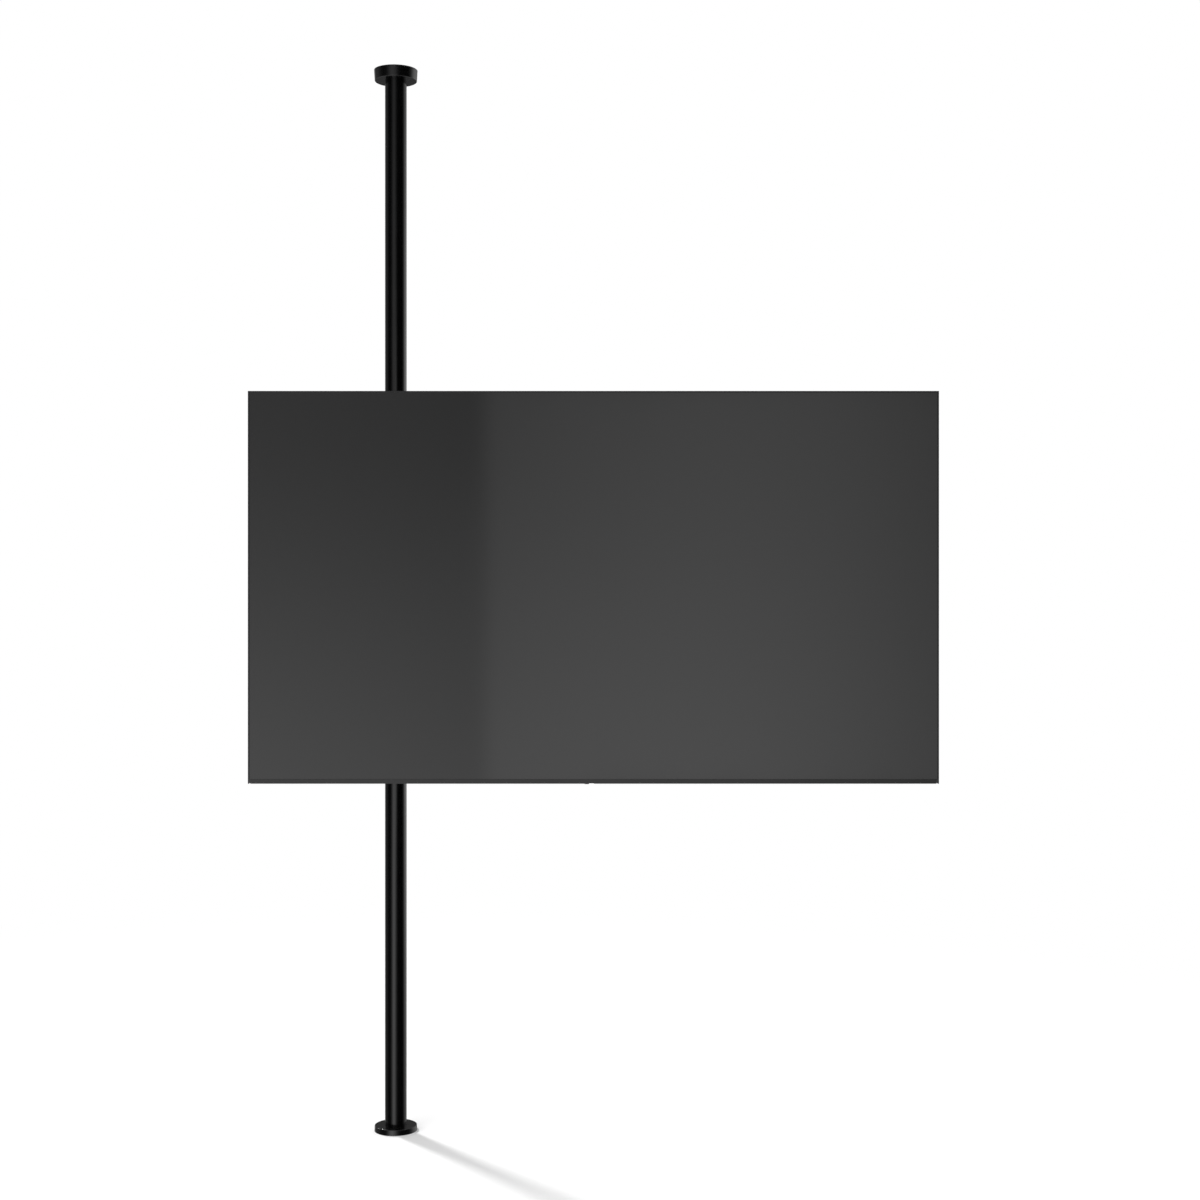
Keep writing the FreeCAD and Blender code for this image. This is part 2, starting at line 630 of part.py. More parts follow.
# Swing arm with its bushes
def swing_arm():
    """A hub around the pole, a box-section beam and a barrel for the head pivot, welded into one piece."""
    hub_low, barrel_low = arm_z("-half_hub"), arm_z("-half_barrel")
    hub = rod("hub_r", "2 * half_hub", ("0", "0", hub_low))
    barrel = rod("barrel_r", "2 * half_barrel", ("arm_reach", "0", barrel_low))
    section = [
        ("-beam_side", "-half_beam"), ("beam_side", "-half_beam"),
        ("beam_side", "half_beam"), ("-beam_side", "half_beam"),
    ]
    beam = pad("YZ_Plane", [section], "arm_reach", ("0", "0", "arm_height"))
    round_edges(beam, "beam_corner", along(1, 0, 0))
    ends = ("hub_r", "arm_reach - barrel_r")
    hollow = box(ends, around("0", "beam_side - beam_wall"), around("arm_height", "half_beam - beam_wall"))
    vent_low = arm_z("-half_beam - beam_wall / 2")
    vents = [f"{ends[0]} + vent_inset", f"{ends[1]} - vent_inset"]
    holes = [rod("vent_hole / 2", "2 * beam_wall", (x, "0", vent_low)) for x in vents]
    holes.append(rod("hub_in", "2 * half_hub", ("0", "0", hub_low)))
    holes.append(rod("barrel_in", "2 * half_barrel", ("arm_reach", "0", barrel_low)))
    keep("swing_arm", cut(fuse([hub, barrel, beam]), [hollow, *holes]))


def bush_pair(name, radii, lengths, x, seat):
    """Two flanged bushes in a bore's ends; radii: bore, outside, flange; lengths: body, flange."""
    bore, outside, rim = radii
    body, flange = lengths
    profile = [
        (bore, f"-{body}"), (outside, f"-{body}"), (outside, "0"),
        (rim, "0"), (rim, flange), (bore, flange),
    ]
    keep(f"upper_{name}", turned(profile, (x, "0", arm_z(seat)), UPRIGHT))
    keep(f"lower_{name}", turned(profile, (x, "0", arm_z(f"-{seat}")), FLIPPED))


def bushes():
    """The bushes that the arm turns on, and those that the head turns on."""
    pole_radii, pole_lengths = ("run_r", "hub_in", "hub_r"), ("bush_long", "bush_flange")
    bush_pair("pole_bush", pole_radii, pole_lengths, "0", "half_hub")
    head_radii, head_lengths = ("pivot_in", "barrel_in", "barrel_r"), ("pivot_bush_long", "pivot_bush_flange")
    bush_pair("pivot_bush", head_radii, head_lengths, "arm_reach", "half_barrel")


# Head that turns at the end of the arm
def ear(near, far, side, deep):
    """A tilt ear between two distances from the centre line: a plate with a round end on the tilt axis."""
    low, high = (near, far) if side > 0 else (f"-({far})", f"-({near})")
    plate = box((head_x(low), head_x(high)), deep, around("arm_height", "ear_r"))
    end = rod("ear_r", f"({far}) - ({near})", (head_x(low), "tilt_y", arm_z()), ALONG_X)
    return [plate, end]


def head_yoke():
    """Two plates around the barrel, joined by a web with two tilt ears."""
    outline = [
        ("-half_yoke", "-yoke_depth"), ("half_yoke", "-yoke_depth"),
        ("half_yoke", "yoke_sheet - yoke_depth"), ("barrel_r", "0"),
        ("-barrel_r", "0"), ("-half_yoke", "yoke_sheet - yoke_depth"),
    ]
    pieces = []
    for low in (arm_z("yoke_seat"), arm_z("-yoke_top")):
        pieces.append(pad("XY_Plane", [outline], "yoke_sheet", ("arm_reach", "0", low)))
        pieces.append(rod("barrel_r", "yoke_sheet", ("arm_reach", "0", low)))
    web = ("-yoke_depth", "yoke_sheet - yoke_depth")
    pieces.append(box(across_head("half_yoke"), web, around("arm_height", "yoke_top")))
    for side in SIDES:
        pieces += ear("half_yoke - yoke_sheet", "half_yoke", side, ("tilt_y", "-yoke_depth"))
    pin_hole = rod("pin_r", "2 * yoke_top", ("arm_reach", "0", arm_z("-yoke_top")))
    bolt_hole = rod("tilt_bolt / 2", "yoke_wide", tilt_spot(-1, "half_yoke"), ALONG_X)
    keep("head_yoke", cut(fuse(pieces), [pin_hole, bolt_hole]))


def head_pivot():
    """The upright bolt through yoke and barrel, with its washers and nut."""
    top, low = ("arm_reach", "0", arm_z("yoke_end")), ("arm_reach", "0", arm_z("-yoke_end"))
    shank = rod("pin_r", f"2 * yoke_end + pin_od * {TAIL_LONG}", top, FLIPPED)
    keep("pivot_bolt", fuse([shank, hex_head("pin_od", top, UPRIGHT)]))
    keep("pivot_nut", hex_nut("pin_od", low, FLIPPED))
    seats = (arm_z("yoke_top"), arm_z("-yoke_end"))
    rims = [washer("pin_r", "pin_od", "pin_washer", ("arm_reach", "0", z)) for z in seats]
    keep("pivot_washers", group(rims))


def tilt_spot(side, text):
    """A point on the tilt axis, at a distance from the head's centre line."""
    return head_x(f"{side} * ({text})"), "tilt_y", arm_z()


def tilt_joint():
    """Bolts, nuts and friction washers on the two tilt ears."""
    bolts, nuts, washers = [], [], []
    inside = "half_yoke - yoke_sheet"
    long = f"ear_out - ({inside}) + tilt_bolt * {TAIL_LONG}"
    for side, outward, inward in ((1, ALONG_X, BACK_X), (-1, BACK_X, ALONG_X)):
        seat = tilt_spot(side, "ear_out")
        shank = rod("tilt_bolt / 2", long, seat, inward)
        bolts.append(fuse([shank, hex_head("tilt_bolt", seat, outward)]))
        nuts.append(hex_nut("tilt_bolt", tilt_spot(side, inside), inward))
        face = tilt_spot(side, "half_yoke")
        washers.append(washer("tilt_bolt / 2", "ear_r", "washer_thick", face, outward))
    keep("tilt_bolts", group(bolts))
    keep("tilt_nuts", group(nuts))
    keep("tilt_washers", group(washers))


# Plate and rails that carry the screen
def four(across, up):
    """X and Z of the corners of a rectangle around the head's centre."""
    return [(head_x(f"{i} * {across}"), arm_z(f"{k} * {up}")) for i in SIDES for k in SIDES]


def tilt_plate():
    """A square plate with two ears on the tilt axis and the holes for the rails or a small screen."""
    low, high = "-half_plate", "half_plate"
    square = [(low, low), (high, low), (high, high), (low, high)]
    plate = pad("XZ_Plane", [square], "tilt_plate_thick", ("arm_reach", "tilt_back", "arm_height"))
    pieces = [round_edges(plate, "plate_corner", along(0, 1, 0))]
    for side in SIDES:
        pieces += ear("ear_in", "ear_out", side, ("tilt_back", "tilt_y"))
    holes = [rod("tilt_bolt / 2 + run_gap", "2 * ear_out", tilt_spot(-1, "ear_out"), ALONG_X)]
    small = "small_pattern / 2"
    for radius, spots in (("bolt_r", four("rail_bolt_x", "rail_z")), ("small_hole / 2", four(small, small))):
        holes += [rod(radius, "tilt_plate_thick", (x, "tilt_front", z), ALONG_Y) for x, z in spots]
    keep("tilt_plate", cut(fuse(pieces), holes))


def slot(wide, long, at, deep, upright):
    """A round-ended slot along X, or along Z if upright, from a point along +Y."""
    x, y, z = at
    run = f"({long} - {wide}) / 2"
    half = f"{wide} / 2"
    across, rise = (half, run) if upright else (run, half)
    middle = box(around(x, across), (y, f"{y} + {deep}"), around(z, rise))
    ends = [(x, y, f"{z} + {i} * {run}") if upright else (f"{x} + {i} * {run}", y, z) for i in SIDES]
    return fuse([middle, *[rod(half, deep, end, ALONG_Y) for end in ends]])


def cross_rail(label, z):
    """A channel with its back against the tilt plate and round-ended slots to either side of the plate."""
    inside = "tilt_front - sheet"
    channel = [
        ("tilt_front", "-half_rail"), ("rail_front", "-half_rail"), ("rail_front", "sheet - half_rail"),
        (inside, "sheet - half_rail"), (inside, "half_rail - sheet"), ("rail_front", "half_rail - sheet"),
        ("rail_front", "half_rail"), ("tilt_front", "half_rail"),
    ]
    rail = pad("YZ_Plane", [channel], "2 * rail_end", (head_x("-rail_end"), "0", z))
    holes = []
    for side in SIDES:
        holes.append(rod("bolt_r", "sheet", (head_x(f"{side} * rail_bolt_x"), inside, z), ALONG_Y))
        for i in range(2):
            x = head_x(f"{side} * (half_plate + bolt_od + rail_slot / 2 + {i} * rail_slot_pitch)")
            holes.append(slot("bolt_od", "rail_slot", (x, inside, z), "sheet", False))
    keep(label, cut(rail, holes))


def cross_rail_bolts():
    """The bolts and nuts that hold the cross rails on the tilt plate."""
    bolts, nuts = [], []
    long = f"sheet + tilt_plate_thick + bolt_od * {TAIL_LONG}"
    for x, z in four("rail_bolt_x", "rail_z"):
        bolts.append(cap_screw("bolt_od", long, (x, "tilt_front - sheet", z), FRONT_Y))
        nuts.append(hex_nut("bolt_od", (x, "tilt_back", z), ALONG_Y))
    keep("cross_rail_bolts", group(bolts))
    keep("cross_rail_nuts", group(nuts))


def hook_rail(label, side):
    """An upright channel with its web on the screen's back; its flanges hook over the upper cross rail."""
    behind = "tilt_front + hook_play"
    hook_top, hook_low = "rail_hole_top + hook_nose", "rail_hole_top - hook_lip"
    flange = [
        ("screen_back", "-hook_end"), ("screen_back", "hook_end"), ("hook_flange", "hook_end"),
        ("hook_flange", hook_top), ("hook_tail", hook_top), ("hook_tail", hook_low), (behind, hook_low),
        (behind, "rail_hole_top"), ("hook_seat", "rail_hole_top"),
        ("hook_seat", "rail_hole_low"), ("hook_flange", "rail_hole_low"),
        ("hook_flange", "-rail_hole_low"), ("hook_seat", "-rail_hole_low"),
        ("hook_seat", "-rail_hole_top"), ("hook_flange", "-rail_hole_top"), ("hook_flange", "-hook_end"),
    ]
    middle = head_x(f"{side} * vesa_x")
    left, right = around(middle, "hook_side")
    pieces = [pad("YZ_Plane", [flange], "sheet", (x, "0", "arm_height")) for x in (left, f"{right} - sheet")]
    deep = ("screen_back", "screen_back + sheet")
    pieces.append(box((left, right), deep, around("arm_height", "hook_end")))
    holes = [rod("lock_bolt / 2", "hook_wide", (left, *lock_spot()), ALONG_X)]
    for z in ("-vesa_z", "-small_pattern / 2", "small_pattern / 2", "vesa_z"):
        holes.append(slot("bolt_od", "vesa_slot", (middle, "screen_back", arm_z(z)), "sheet", True))
    keep(label, cut(fuse(pieces), holes))


def lock_spot():
    """Y and Z of the hook lock bolts, just under the lower cross rail: they keep the screen on its hooks."""
    return "lock_y", arm_z(f"-(rail_hole_top + lock_bolt * {HEX_CORNER})")


def hook_lock_bolt(side):
    """A bolt across a hook rail's flanges."""
    at = (head_x(f"{side} * vesa_x - hook_side"), *lock_spot())
    shank = rod("lock_bolt / 2", "hook_wide + lock_bolt", at, ALONG_X)
    return fuse([shank, hex_head("lock_bolt", at, BACK_X)])


def screen_bolts():
    """The bolts through the hook rails, their washers and the threaded posts of the screen."""
    bolts, washers, posts = [], [], []
    seat = "screen_back + sheet"
    for x, z in four("vesa_x", "vesa_z"):
        long = "vesa_washer + sheet + vesa_depth"
        bolts.append(cap_screw("bolt_od", long, (x, f"{seat} + vesa_washer", z), ALONG_Y))
        washers.append(washer("bolt_r", "bolt_od", "vesa_washer", (x, seat, z), ALONG_Y))
        post = rod("vesa_post / 2", "cover_deep", (x, "frame_back", z), ALONG_Y)
        posts.append(cut(post, [rod("bolt_r", "vesa_depth", (x, "screen_back - vesa_depth", z), ALONG_Y)]))
    keep("vesa_bolts", group(bolts))
    keep("vesa_washers", group(washers))
    keep("vesa_posts", group(posts))


def carrier():
    """Everything between the tilt axis and the back of the screen."""
    tilt_plate()
    cross_rail("upper_cross_rail", arm_z("rail_z"))
    cross_rail("lower_cross_rail", arm_z("-rail_z"))
    cross_rail_bolts()
    hook_rail("left_hook_rail", -1)
    hook_rail("right_hook_rail", 1)
    keep("hook_lock_bolts", group([hook_lock_bolt(side) for side in SIDES]))
    screen_bolts()


# Screen: front
def side_bar(side, wide):
    """Outline of an upright frame bar, seen from the front, with a mitred top end."""
    outer, inner, mitre = f"{side} * half_screen", f"{side} * (half_screen - {wide})", f"half_tall - {wide}"
    return [(outer, "-half_tall"), (outer, "half_tall"), (inner, mitre), (inner, "-half_tall")]


def top_bar(wide):
    """Outline of the top frame bar, seen from the front, with mitred ends."""
    inner, low = f"(half_screen - {wide})", f"half_tall - {wide}"
    return [("-half_screen", "half_tall"), ("half_screen", "half_tall"), (inner, low), (f"-{inner}", low)]


def frame_bar(label, wall_outline, lip_outline):
    """An angle section: an outer wall as deep as the frame and a lip in front of the panel."""
    wall = pad("XZ_Plane", [wall_outline], "frame_deep", ("arm_reach", "frame_back", "screen_z"))
    lip = pad("XZ_Plane", [lip_outline], "frame_wall", ("arm_reach", "panel_face", "screen_z"))
    keep(label, fuse([wall, lip]))


def frame_bars():
    """The mitred bars on the sides and along the top of the screen."""
    for label, side in (("left_frame_bar", -1), ("right_frame_bar", 1)):
        frame_bar(label, side_bar(side, "frame_wall"), side_bar(side, "frame_lip"))
    frame_bar("top_frame_bar", top_bar("frame_wall"), top_bar("frame_lip"))


def bottom_trim():
    """A front strip on a shelf, with a thumb notch and a hole for the button."""
    sides, deep = across_head("trim_half"), ("screen_face", "frame_back")
    front = box(sides, ("screen_face", "panel_face"), ("screen_low", "screen_low + trim_tall"))
    shelf = box(sides, deep, ("screen_low", "screen_low + trim_wall"))
    x = head_x("-button_off")
    hole = rod("button_r + slip_gap", "trim_wall", (x, "button_y", "screen_low"))
    notch = box(around(x, "notch_wide / 2"), deep, ("screen_low", "screen_low + notch_tall"))
    keep("bottom_trim", cut(fuse([front, shelf]), [hole, notch]))


def power_button():
    """A round button that hangs by its rim on the trim's shelf, and the switch above it."""
    x, rim_r = head_x("-button_off"), "button_r + button_rim"
    button = turned([
        ("0", "0"), ("button_r", "0"), ("button_r", "button_neck"), (rim_r, "button_neck"),
        (rim_r, "button_top"), ("0", "button_top"),
    ], (x, "button_y", "screen_low"))
    keep("power_button", round_edges(button, "button_edge", ring_at("button_r", "0")))
    tall = ("screen_low + button_top + button_travel + play", "chassis_low")
    keep("button_switch", box(around(x, "button_r"), around("button_y", "button_r"), tall))


def screen_front():
    """The frame, the trim with its button and sensor window, and the display panel."""
    frame_bars()
    bottom_trim()
    power_button()
    sides, tall = across_head("half_screen - panel_inset"), ("panel_low", "screen_high - panel_inset")
    keep("display_panel", box(sides, ("panel_face", "panel_back"), tall))
    sides = around(head_x("-sensor_off"), "sensor_wide / 2")
    deep = ("screen_face + sensor_setback", "screen_face + sensor_setback + sensor_deep")
    keep("sensor_window", box(sides, deep, ("screen_low - sensor_tall", "screen_low")))


# Screen: light box
def light_box():
    """The chassis with its board bosses, the diffuser and the light bars."""
    pan = box(across_head("half_chassis"), ("panel_back", "frame_back"), ("chassis_low", "chassis_high"))
    hollow = box(
        across_head("half_chassis - chassis_sheet"), ("panel_back", "chassis_floor"),
        ("chassis_low + chassis_sheet", "chassis_high - chassis_sheet"),
    )
    bosses = []
    for off in ("board_in + boss_inset", "board_out - boss_inset"):
        for x in across_head(off):
            for z in ("board_low + boss_inset", "board_low + board_tall - boss_inset"):
                bosses.append(rod("cover_screw", "board_lift", (x, "frame_back", z), ALONG_Y))
    keep("backlight_chassis", fuse([cut(pan, [hollow]), *bosses]))
    room = "chassis_sheet + chassis_gap"
    keep("diffuser_plate", box(
        across_head(f"half_chassis - ({room})"), ("panel_back", "panel_back + diffuser_thick"),
        (f"chassis_low + {room}", f"chassis_high - ({room})"),
    ))
    bars = []
    for share in (1 / 8, 3 / 8, 5 / 8, 7 / 8):
        z = f"chassis_low + {share} * (chassis_high - chassis_low)"
        bars.append(box(
            across_head("half_chassis - led_margin"), ("chassis_floor - led_bar_thick", "chassis_floor"),
            around(z, "led_bar_wide / 2"),
        ))
    keep("led_bars", group(bars))


# Screen: electronics under the rear cover
def cover_screw_spots():
    """X and Z of the screws in the rear cover's flange: along top and bottom, and halfway up its sides."""
    edge = "half_cover - cover_flange / 2"
    low, high = "cover_low + cover_flange / 2", "cover_high - cover_flange / 2"
    columns = [head_x(f"{share} * ({edge})") for share in (-1, -1 / 3, 1 / 3, 1)]
    spots = [(x, z) for x in columns for z in (low, high)]
    return spots + [(x, f"({low} + {high}) / 2") for x in (columns[0], columns[-1])]


def recess(wide, tall, side, floor):
    """A block at the place of a recess in the cover's back face, on one side of the centre line."""
    near, far = "port_in", f"port_in + {wide}"
    sides = (head_x(near), head_x(far)) if side > 0 else (head_x(f"-({far})"), head_x(f"-{near}"))
    return box(sides, (floor, "screen_back"), ("port_low", f"port_low + {tall}"))


def electronics_cover():
    """A shell with leaning sides on a flat flange, open for the posts, sockets, inlet and vents."""
    deep = ("frame_back", "frame_back + cover_sheet")
    flange = box(across_head("half_cover"), deep, ("cover_low", "cover_high"))
    shell = wedge(
        across_head("half_box"), ("frame_back", "screen_back"), ("box_low", "box_high"),
        across_head("half_back"), ("back_low", "back_high"),
    )
    holes = [wedge(
        across_head("half_box - cover_sheet"), ("frame_back", "back_inside"),
        ("box_low + cover_sheet", "box_high - cover_sheet"),
        across_head("half_back - cover_sheet"), ("back_low + cover_sheet", "back_high - cover_sheet"),
    )]
    for x, z in four("vesa_x", "vesa_z"):
        holes.append(rod("vesa_post / 2 + slip_gap", "cover_sheet", (x, "back_inside", z), ALONG_Y))
    for x, z in cover_screw_spots():
        holes.append(rod("cover_screw / 2", "cover_sheet", (x, "frame_back", z), ALONG_Y))
    holes.append(recess("port_wide", "port_tall", 1, "back_inside"))
    holes.append(recess("inlet_wide", "inlet_tall", -1, "back_inside"))
    for i in range(8):
        z = f"back_high - slat_drop - {i} * slat_pitch"
        tall = around(z, "slat_gap / 2")
        for near, far in (("slat_inset", "slat_end"), ("-slat_end", "-slat_inset")):
            holes.append(box((head_x(near), head_x(far)), ("back_inside", "screen_back"), tall))
    keep("electronics_cover", cut(fuse([flange, shell]), holes))


def cover_screw(x, z):
    """A pan-head screw in the cover's flange."""
    shank = rod("cover_screw / 2", "cover_sheet", (x, "frame_back", z), ALONG_Y)
    seat = (x, "frame_back + cover_sheet", z)
    head = cone("cover_screw", f"cover_screw * {CAP_R}", f"cover_screw * {CAP_TALL}", seat, ALONG_Y)
    return fuse([shank, head])


def board(label, side, blocks):
    """A board on the chassis bosses; its parts are blocks: x, z, width, height and depth, as shares."""
    near = "board_in" if side > 0 else "-board_out"
    under = "frame_back + board_lift"
    tall = ("board_low", "board_low + board_tall")
    sides = (head_x(near), head_x(f"{near} + board_wide"))
    pieces = [box(sides, (under, "board_top"), tall)]
    for across, up, wide, high, deep in blocks:
        x = [head_x(f"{near} + {share} * board_wide") for share in (across, across + wide)]
        z = [f"board_low + {share} * board_tall" for share in (up, up + high)]
        pieces.append(box(x, ("board_top", f"board_top + {deep} * part_tall"), z))
    keep(label, fuse(pieces))


def port_panel():
    """A tray sunk into the rear cover, with a row of sockets standing on its floor."""
    well = box(
        (head_x("port_in + cover_sheet"), head_x("port_in + port_wide - cover_sheet")),
        ("port_floor + cover_sheet", "screen_back"),
        ("port_low + cover_sheet", "port_low + port_tall - cover_sheet"),
    )
    sockets, mouths = [], []
    for i in (-1, 0, 1):
        x = head_x(f"port_in + port_wide / 2 + {i} * (socket_wide + socket_gap)")
        z = "port_low + port_tall / 2"
        for pieces, inset, floor in ((sockets, "0", "0"), (mouths, "socket_wall", "cover_sheet")):
            sides, tall = around(x, f"socket_wide / 2 - {inset}"), around(z, f"socket_tall / 2 - {inset}")
            pieces.append(box(sides, (f"port_floor + cover_sheet + {floor}", "socket_face"), tall))
    tray = cut(recess("port_wide", "port_tall", 1, "port_floor"), [well])
    keep("port_panel", cut(fuse([tray, *sockets]), mouths))


def power_inlet():
    """A two-pin appliance inlet sunk into the rear cover."""
    floor = "port_floor + cover_sheet"
    centre = head_x("-(port_in + inlet_wide / 2)")
    spots = [(f"{centre} + {i} * inlet_pitch / 2", floor, "port_low + inlet_tall / 2") for i in SIDES]
    wells = [rod("inlet_well / 2", f"screen_back - ({floor})", at, ALONG_Y) for at in spots]
    pins = [rod("inlet_pin / 2", f"screen_back - ({floor}) - cover_sheet", at, ALONG_Y) for at in spots]
    keep("power_inlet", fuse([cut(recess("inlet_wide", "inlet_tall", -1, "port_floor"), wells), *pins]))


def speaker(label, side):
    """A speaker box on the chassis, with a shallow cone on the side that faces down."""
    x = head_x(f"{side} * (board_in + speaker_wide / 2)")
    deep, tall = ("frame_back", "frame_back + speaker_deep"), ("back_low", "back_low + speaker_tall")
    case = box(around(x, "speaker_wide / 2"), deep, tall)
    at = (x, "frame_back + speaker_deep / 2", "back_low")
    mouth = cone("speaker_deep * 0.4", "speaker_deep * 0.2", "speaker_deep / 3", at)
    keep(label, cut(case, [mouth]))


def electronics():
    """The rear cover and what lies under it."""
    electronics_cover()
    keep("cover_screws", group([cover_screw(x, z) for x, z in cover_screw_spots()]))
    board("main_board", 1, [
        (0.3, 0.45, 0.3, 0.3, 0.8), (0.1, 0.82, 0.7, 0.1, 0.5), (0.72, 0.5, 0.18, 0.2, 0.3),
    ])
    board("power_board", -1, [
        (0.12, 0.42, 0.26, 0.3, 1), (0.5, 0.5, 0.2, 0.35, 0.9), (0.78, 0.44, 0.12, 0.12, 1),
    ])
    speaker("left_speaker", -1)
    speaker("right_speaker", 1)
    port_panel()
    power_inlet()


def write_parts():
    """Checks every object, then writes one file for each sub-part."""
    doc.recompute()
    for obj in doc.Objects:
        if {"Invalid", "Error"} & set(obj.State):
            raise RuntimeError(f"{obj.Label} failed: {obj.State}")
    for obj in SUBPARTS:
        shape = obj.Shape
        if shape.isNull() or not shape.isValid() or not shape.Solids:
            raise RuntimeError(f"{obj.Label} has no valid solid")
    os.makedirs("parts", exist_ok=True)
    for obj in SUBPARTS:
        obj.Shape.exportStep(f"parts/{obj.Label}.step")
        print(obj.Label, len(obj.Shape.Solids), round(obj.Shape.Volume))


pole()
end_covers()
collars()
swing_arm()
bushes()
head_yoke()
head_pivot()
tilt_joint()
carrier()
screen_front()
light_box()
electronics()
write_parts()
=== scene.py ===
"""Looks of a floor-to-ceiling pole mount with its flat screen: finishes, welds, screws and stage."""

import json
import math
from functools import partial

import bmesh
import bpy
from bpy.props import FloatProperty, FloatVectorProperty, IntProperty, PointerProperty
from mathutils import Matrix, Vector

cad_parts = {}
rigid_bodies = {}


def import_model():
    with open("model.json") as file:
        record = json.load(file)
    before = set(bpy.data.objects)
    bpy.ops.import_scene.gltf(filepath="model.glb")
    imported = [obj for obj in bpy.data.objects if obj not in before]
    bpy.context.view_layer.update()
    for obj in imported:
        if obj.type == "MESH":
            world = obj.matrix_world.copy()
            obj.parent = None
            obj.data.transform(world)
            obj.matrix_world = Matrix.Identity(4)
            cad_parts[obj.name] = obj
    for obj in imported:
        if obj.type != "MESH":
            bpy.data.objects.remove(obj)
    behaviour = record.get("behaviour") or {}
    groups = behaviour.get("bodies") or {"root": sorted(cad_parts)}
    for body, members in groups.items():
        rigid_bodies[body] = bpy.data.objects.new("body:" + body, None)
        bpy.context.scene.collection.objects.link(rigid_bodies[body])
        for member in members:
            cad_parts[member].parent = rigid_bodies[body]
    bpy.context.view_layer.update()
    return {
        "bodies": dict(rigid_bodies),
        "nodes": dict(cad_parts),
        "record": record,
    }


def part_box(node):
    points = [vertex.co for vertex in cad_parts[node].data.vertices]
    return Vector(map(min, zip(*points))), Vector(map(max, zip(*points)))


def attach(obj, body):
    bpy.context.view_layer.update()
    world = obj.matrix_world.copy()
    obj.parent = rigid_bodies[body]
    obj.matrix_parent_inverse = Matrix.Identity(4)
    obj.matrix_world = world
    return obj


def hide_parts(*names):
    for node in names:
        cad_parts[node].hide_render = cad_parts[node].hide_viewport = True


bl_info = {
    "name": "Pole Mount Looks",
    "version": (1, 0, 0),
    "blender": (4, 5, 0),
    "location": "3D View > Sidebar > Pole Mount",
    "description": "Finishes, welds, screws, contacts and stage for a pole mount that carries a flat screen",
    "category": "Object",
}

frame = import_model()
MM = 0.001
TINY = 1e-6
MERGE_DISTANCE = 1e-7
NEARLY = 0.99
RIGHT, BACK, UP = Vector((1, 0, 0)), Vector((0, 1, 0)), Vector((0, 0, 1))
SHARP_ANGLE = 35.0
SHARP_KNURL_ANGLE = 20.0

# Hexagon heads and nuts, in shares of the thread's diameter
HEX_CORNER = 0.87
HEX_TALL = 0.65
HALF_SIDE = math.radians(30)
CHAMFER_START = 0.97
CHAMFER_SLOPE = math.radians(30)
CHAMFER_CUTS = 36

# Socket heads, in shares of the thread's diameter
CAP_R = 0.8
CAP_TALL = 0.6
CAP_ROUND = 0.06
SOCKET_CORNER = 0.36
SOCKET_DEEP = 0.36
KNURLS = 24
KNURL_FOOT = 0.965

# Threads: lengths in shares of the diameter or the shank, depths in shares of the pitch
THREAD_PITCH = 0.14
THREAD_LONG = 1.6
THREAD_SHARE = 0.7
THREAD_DEEP = 0.6
THREAD_SUNK = 0.1
THREAD_TURNS = 3
THREAD_STEPS = 24
RIDGE = ((False, 0.0), (True, 0.36), (True, 0.54), (False, 0.9))
TAIL_LONG = 0.9

# Pan heads on the rear cover: sizes, shares of the head, and degrees from one screw to the next
PAN_R = 4 * MM
PAN_TALL = 2.4 * MM
PAN_TAPER = 0.82
PAN_ROUND = 0.3
CROSS_THIN = 0.13
CROSS_LONG = 0.52
CROSS_DEEP = 0.6
CROSS_FLOOR = 0.8
PAN_TURN = 37

# Weld beads: thickness and growth of the ends, height of the ripple, steps in a ripple or corner
BEAD_END = 0.45
BEAD_GROW = 0.3
BEAD_WAVE = 0.16
RIPPLE_STEPS = 4
CORNER_STEPS = 4
EAR_BEAD = 0.8
TILT_WASHER = 1 * MM

# Ribs, contact tongues, boards and light strips
RIB_MARGIN = 60 * MM
RIB_ROUND = 0.49
RIB_SOFT = 0.9
TONGUE_WIDE = 0.72
TONGUE_DEEP = 6.2 * MM
TONGUE_THICK = 1.3 * MM
TONGUE_SUNK = 0.4 * MM
TONGUE_ROUND = 0.3 * MM
CONTACT_PITCH = 1.4 * MM
BOARD_FACE = 7.6 * MM
PARTS_START = (0.2 * MM, 0.4 * MM)
TRACKS = 140.0
LIGHT_PITCH = 34 * MM
LIGHT_SPOT = (2.2 * MM, 2.8 * MM)

# Grain sizes of the finishes, and where soft steps start and end
CLOUD, FLOW, STREAK, PATCH = 30 * MM, 90 * MM, 1.6 * MM, 12 * MM
WIPE, FILM, STRIP_GRAIN = 160 * MM, 500 * MM, 0.8 * MM
SOFT_STEP = (0.25, 0.75)
EDGE_TURN = (0.8, 0.995)

# Fixed colours
RUBBER, SOCKET, TONGUE = (0.018, 0.018, 0.018), (0.012, 0.012, 0.0125), (0.02, 0.02, 0.02)
LENS, GOLD, CHIP = (0.012, 0.006, 0.007), (0.85, 0.6, 0.22), (0.02, 0.02, 0.02)
STRIP, PHOSPHOR, OPAL = (0.78, 0.78, 0.74), (0.85, 0.62, 0.1), (0.8, 0.8, 0.78)
WHITE = (1.0, 1.0, 1.0, 1.0)

# Floor: half its width, and how far out it melts into the background
FLOOR_HALF = 14.0
FLOOR_MELT = (1.6, 3.2)

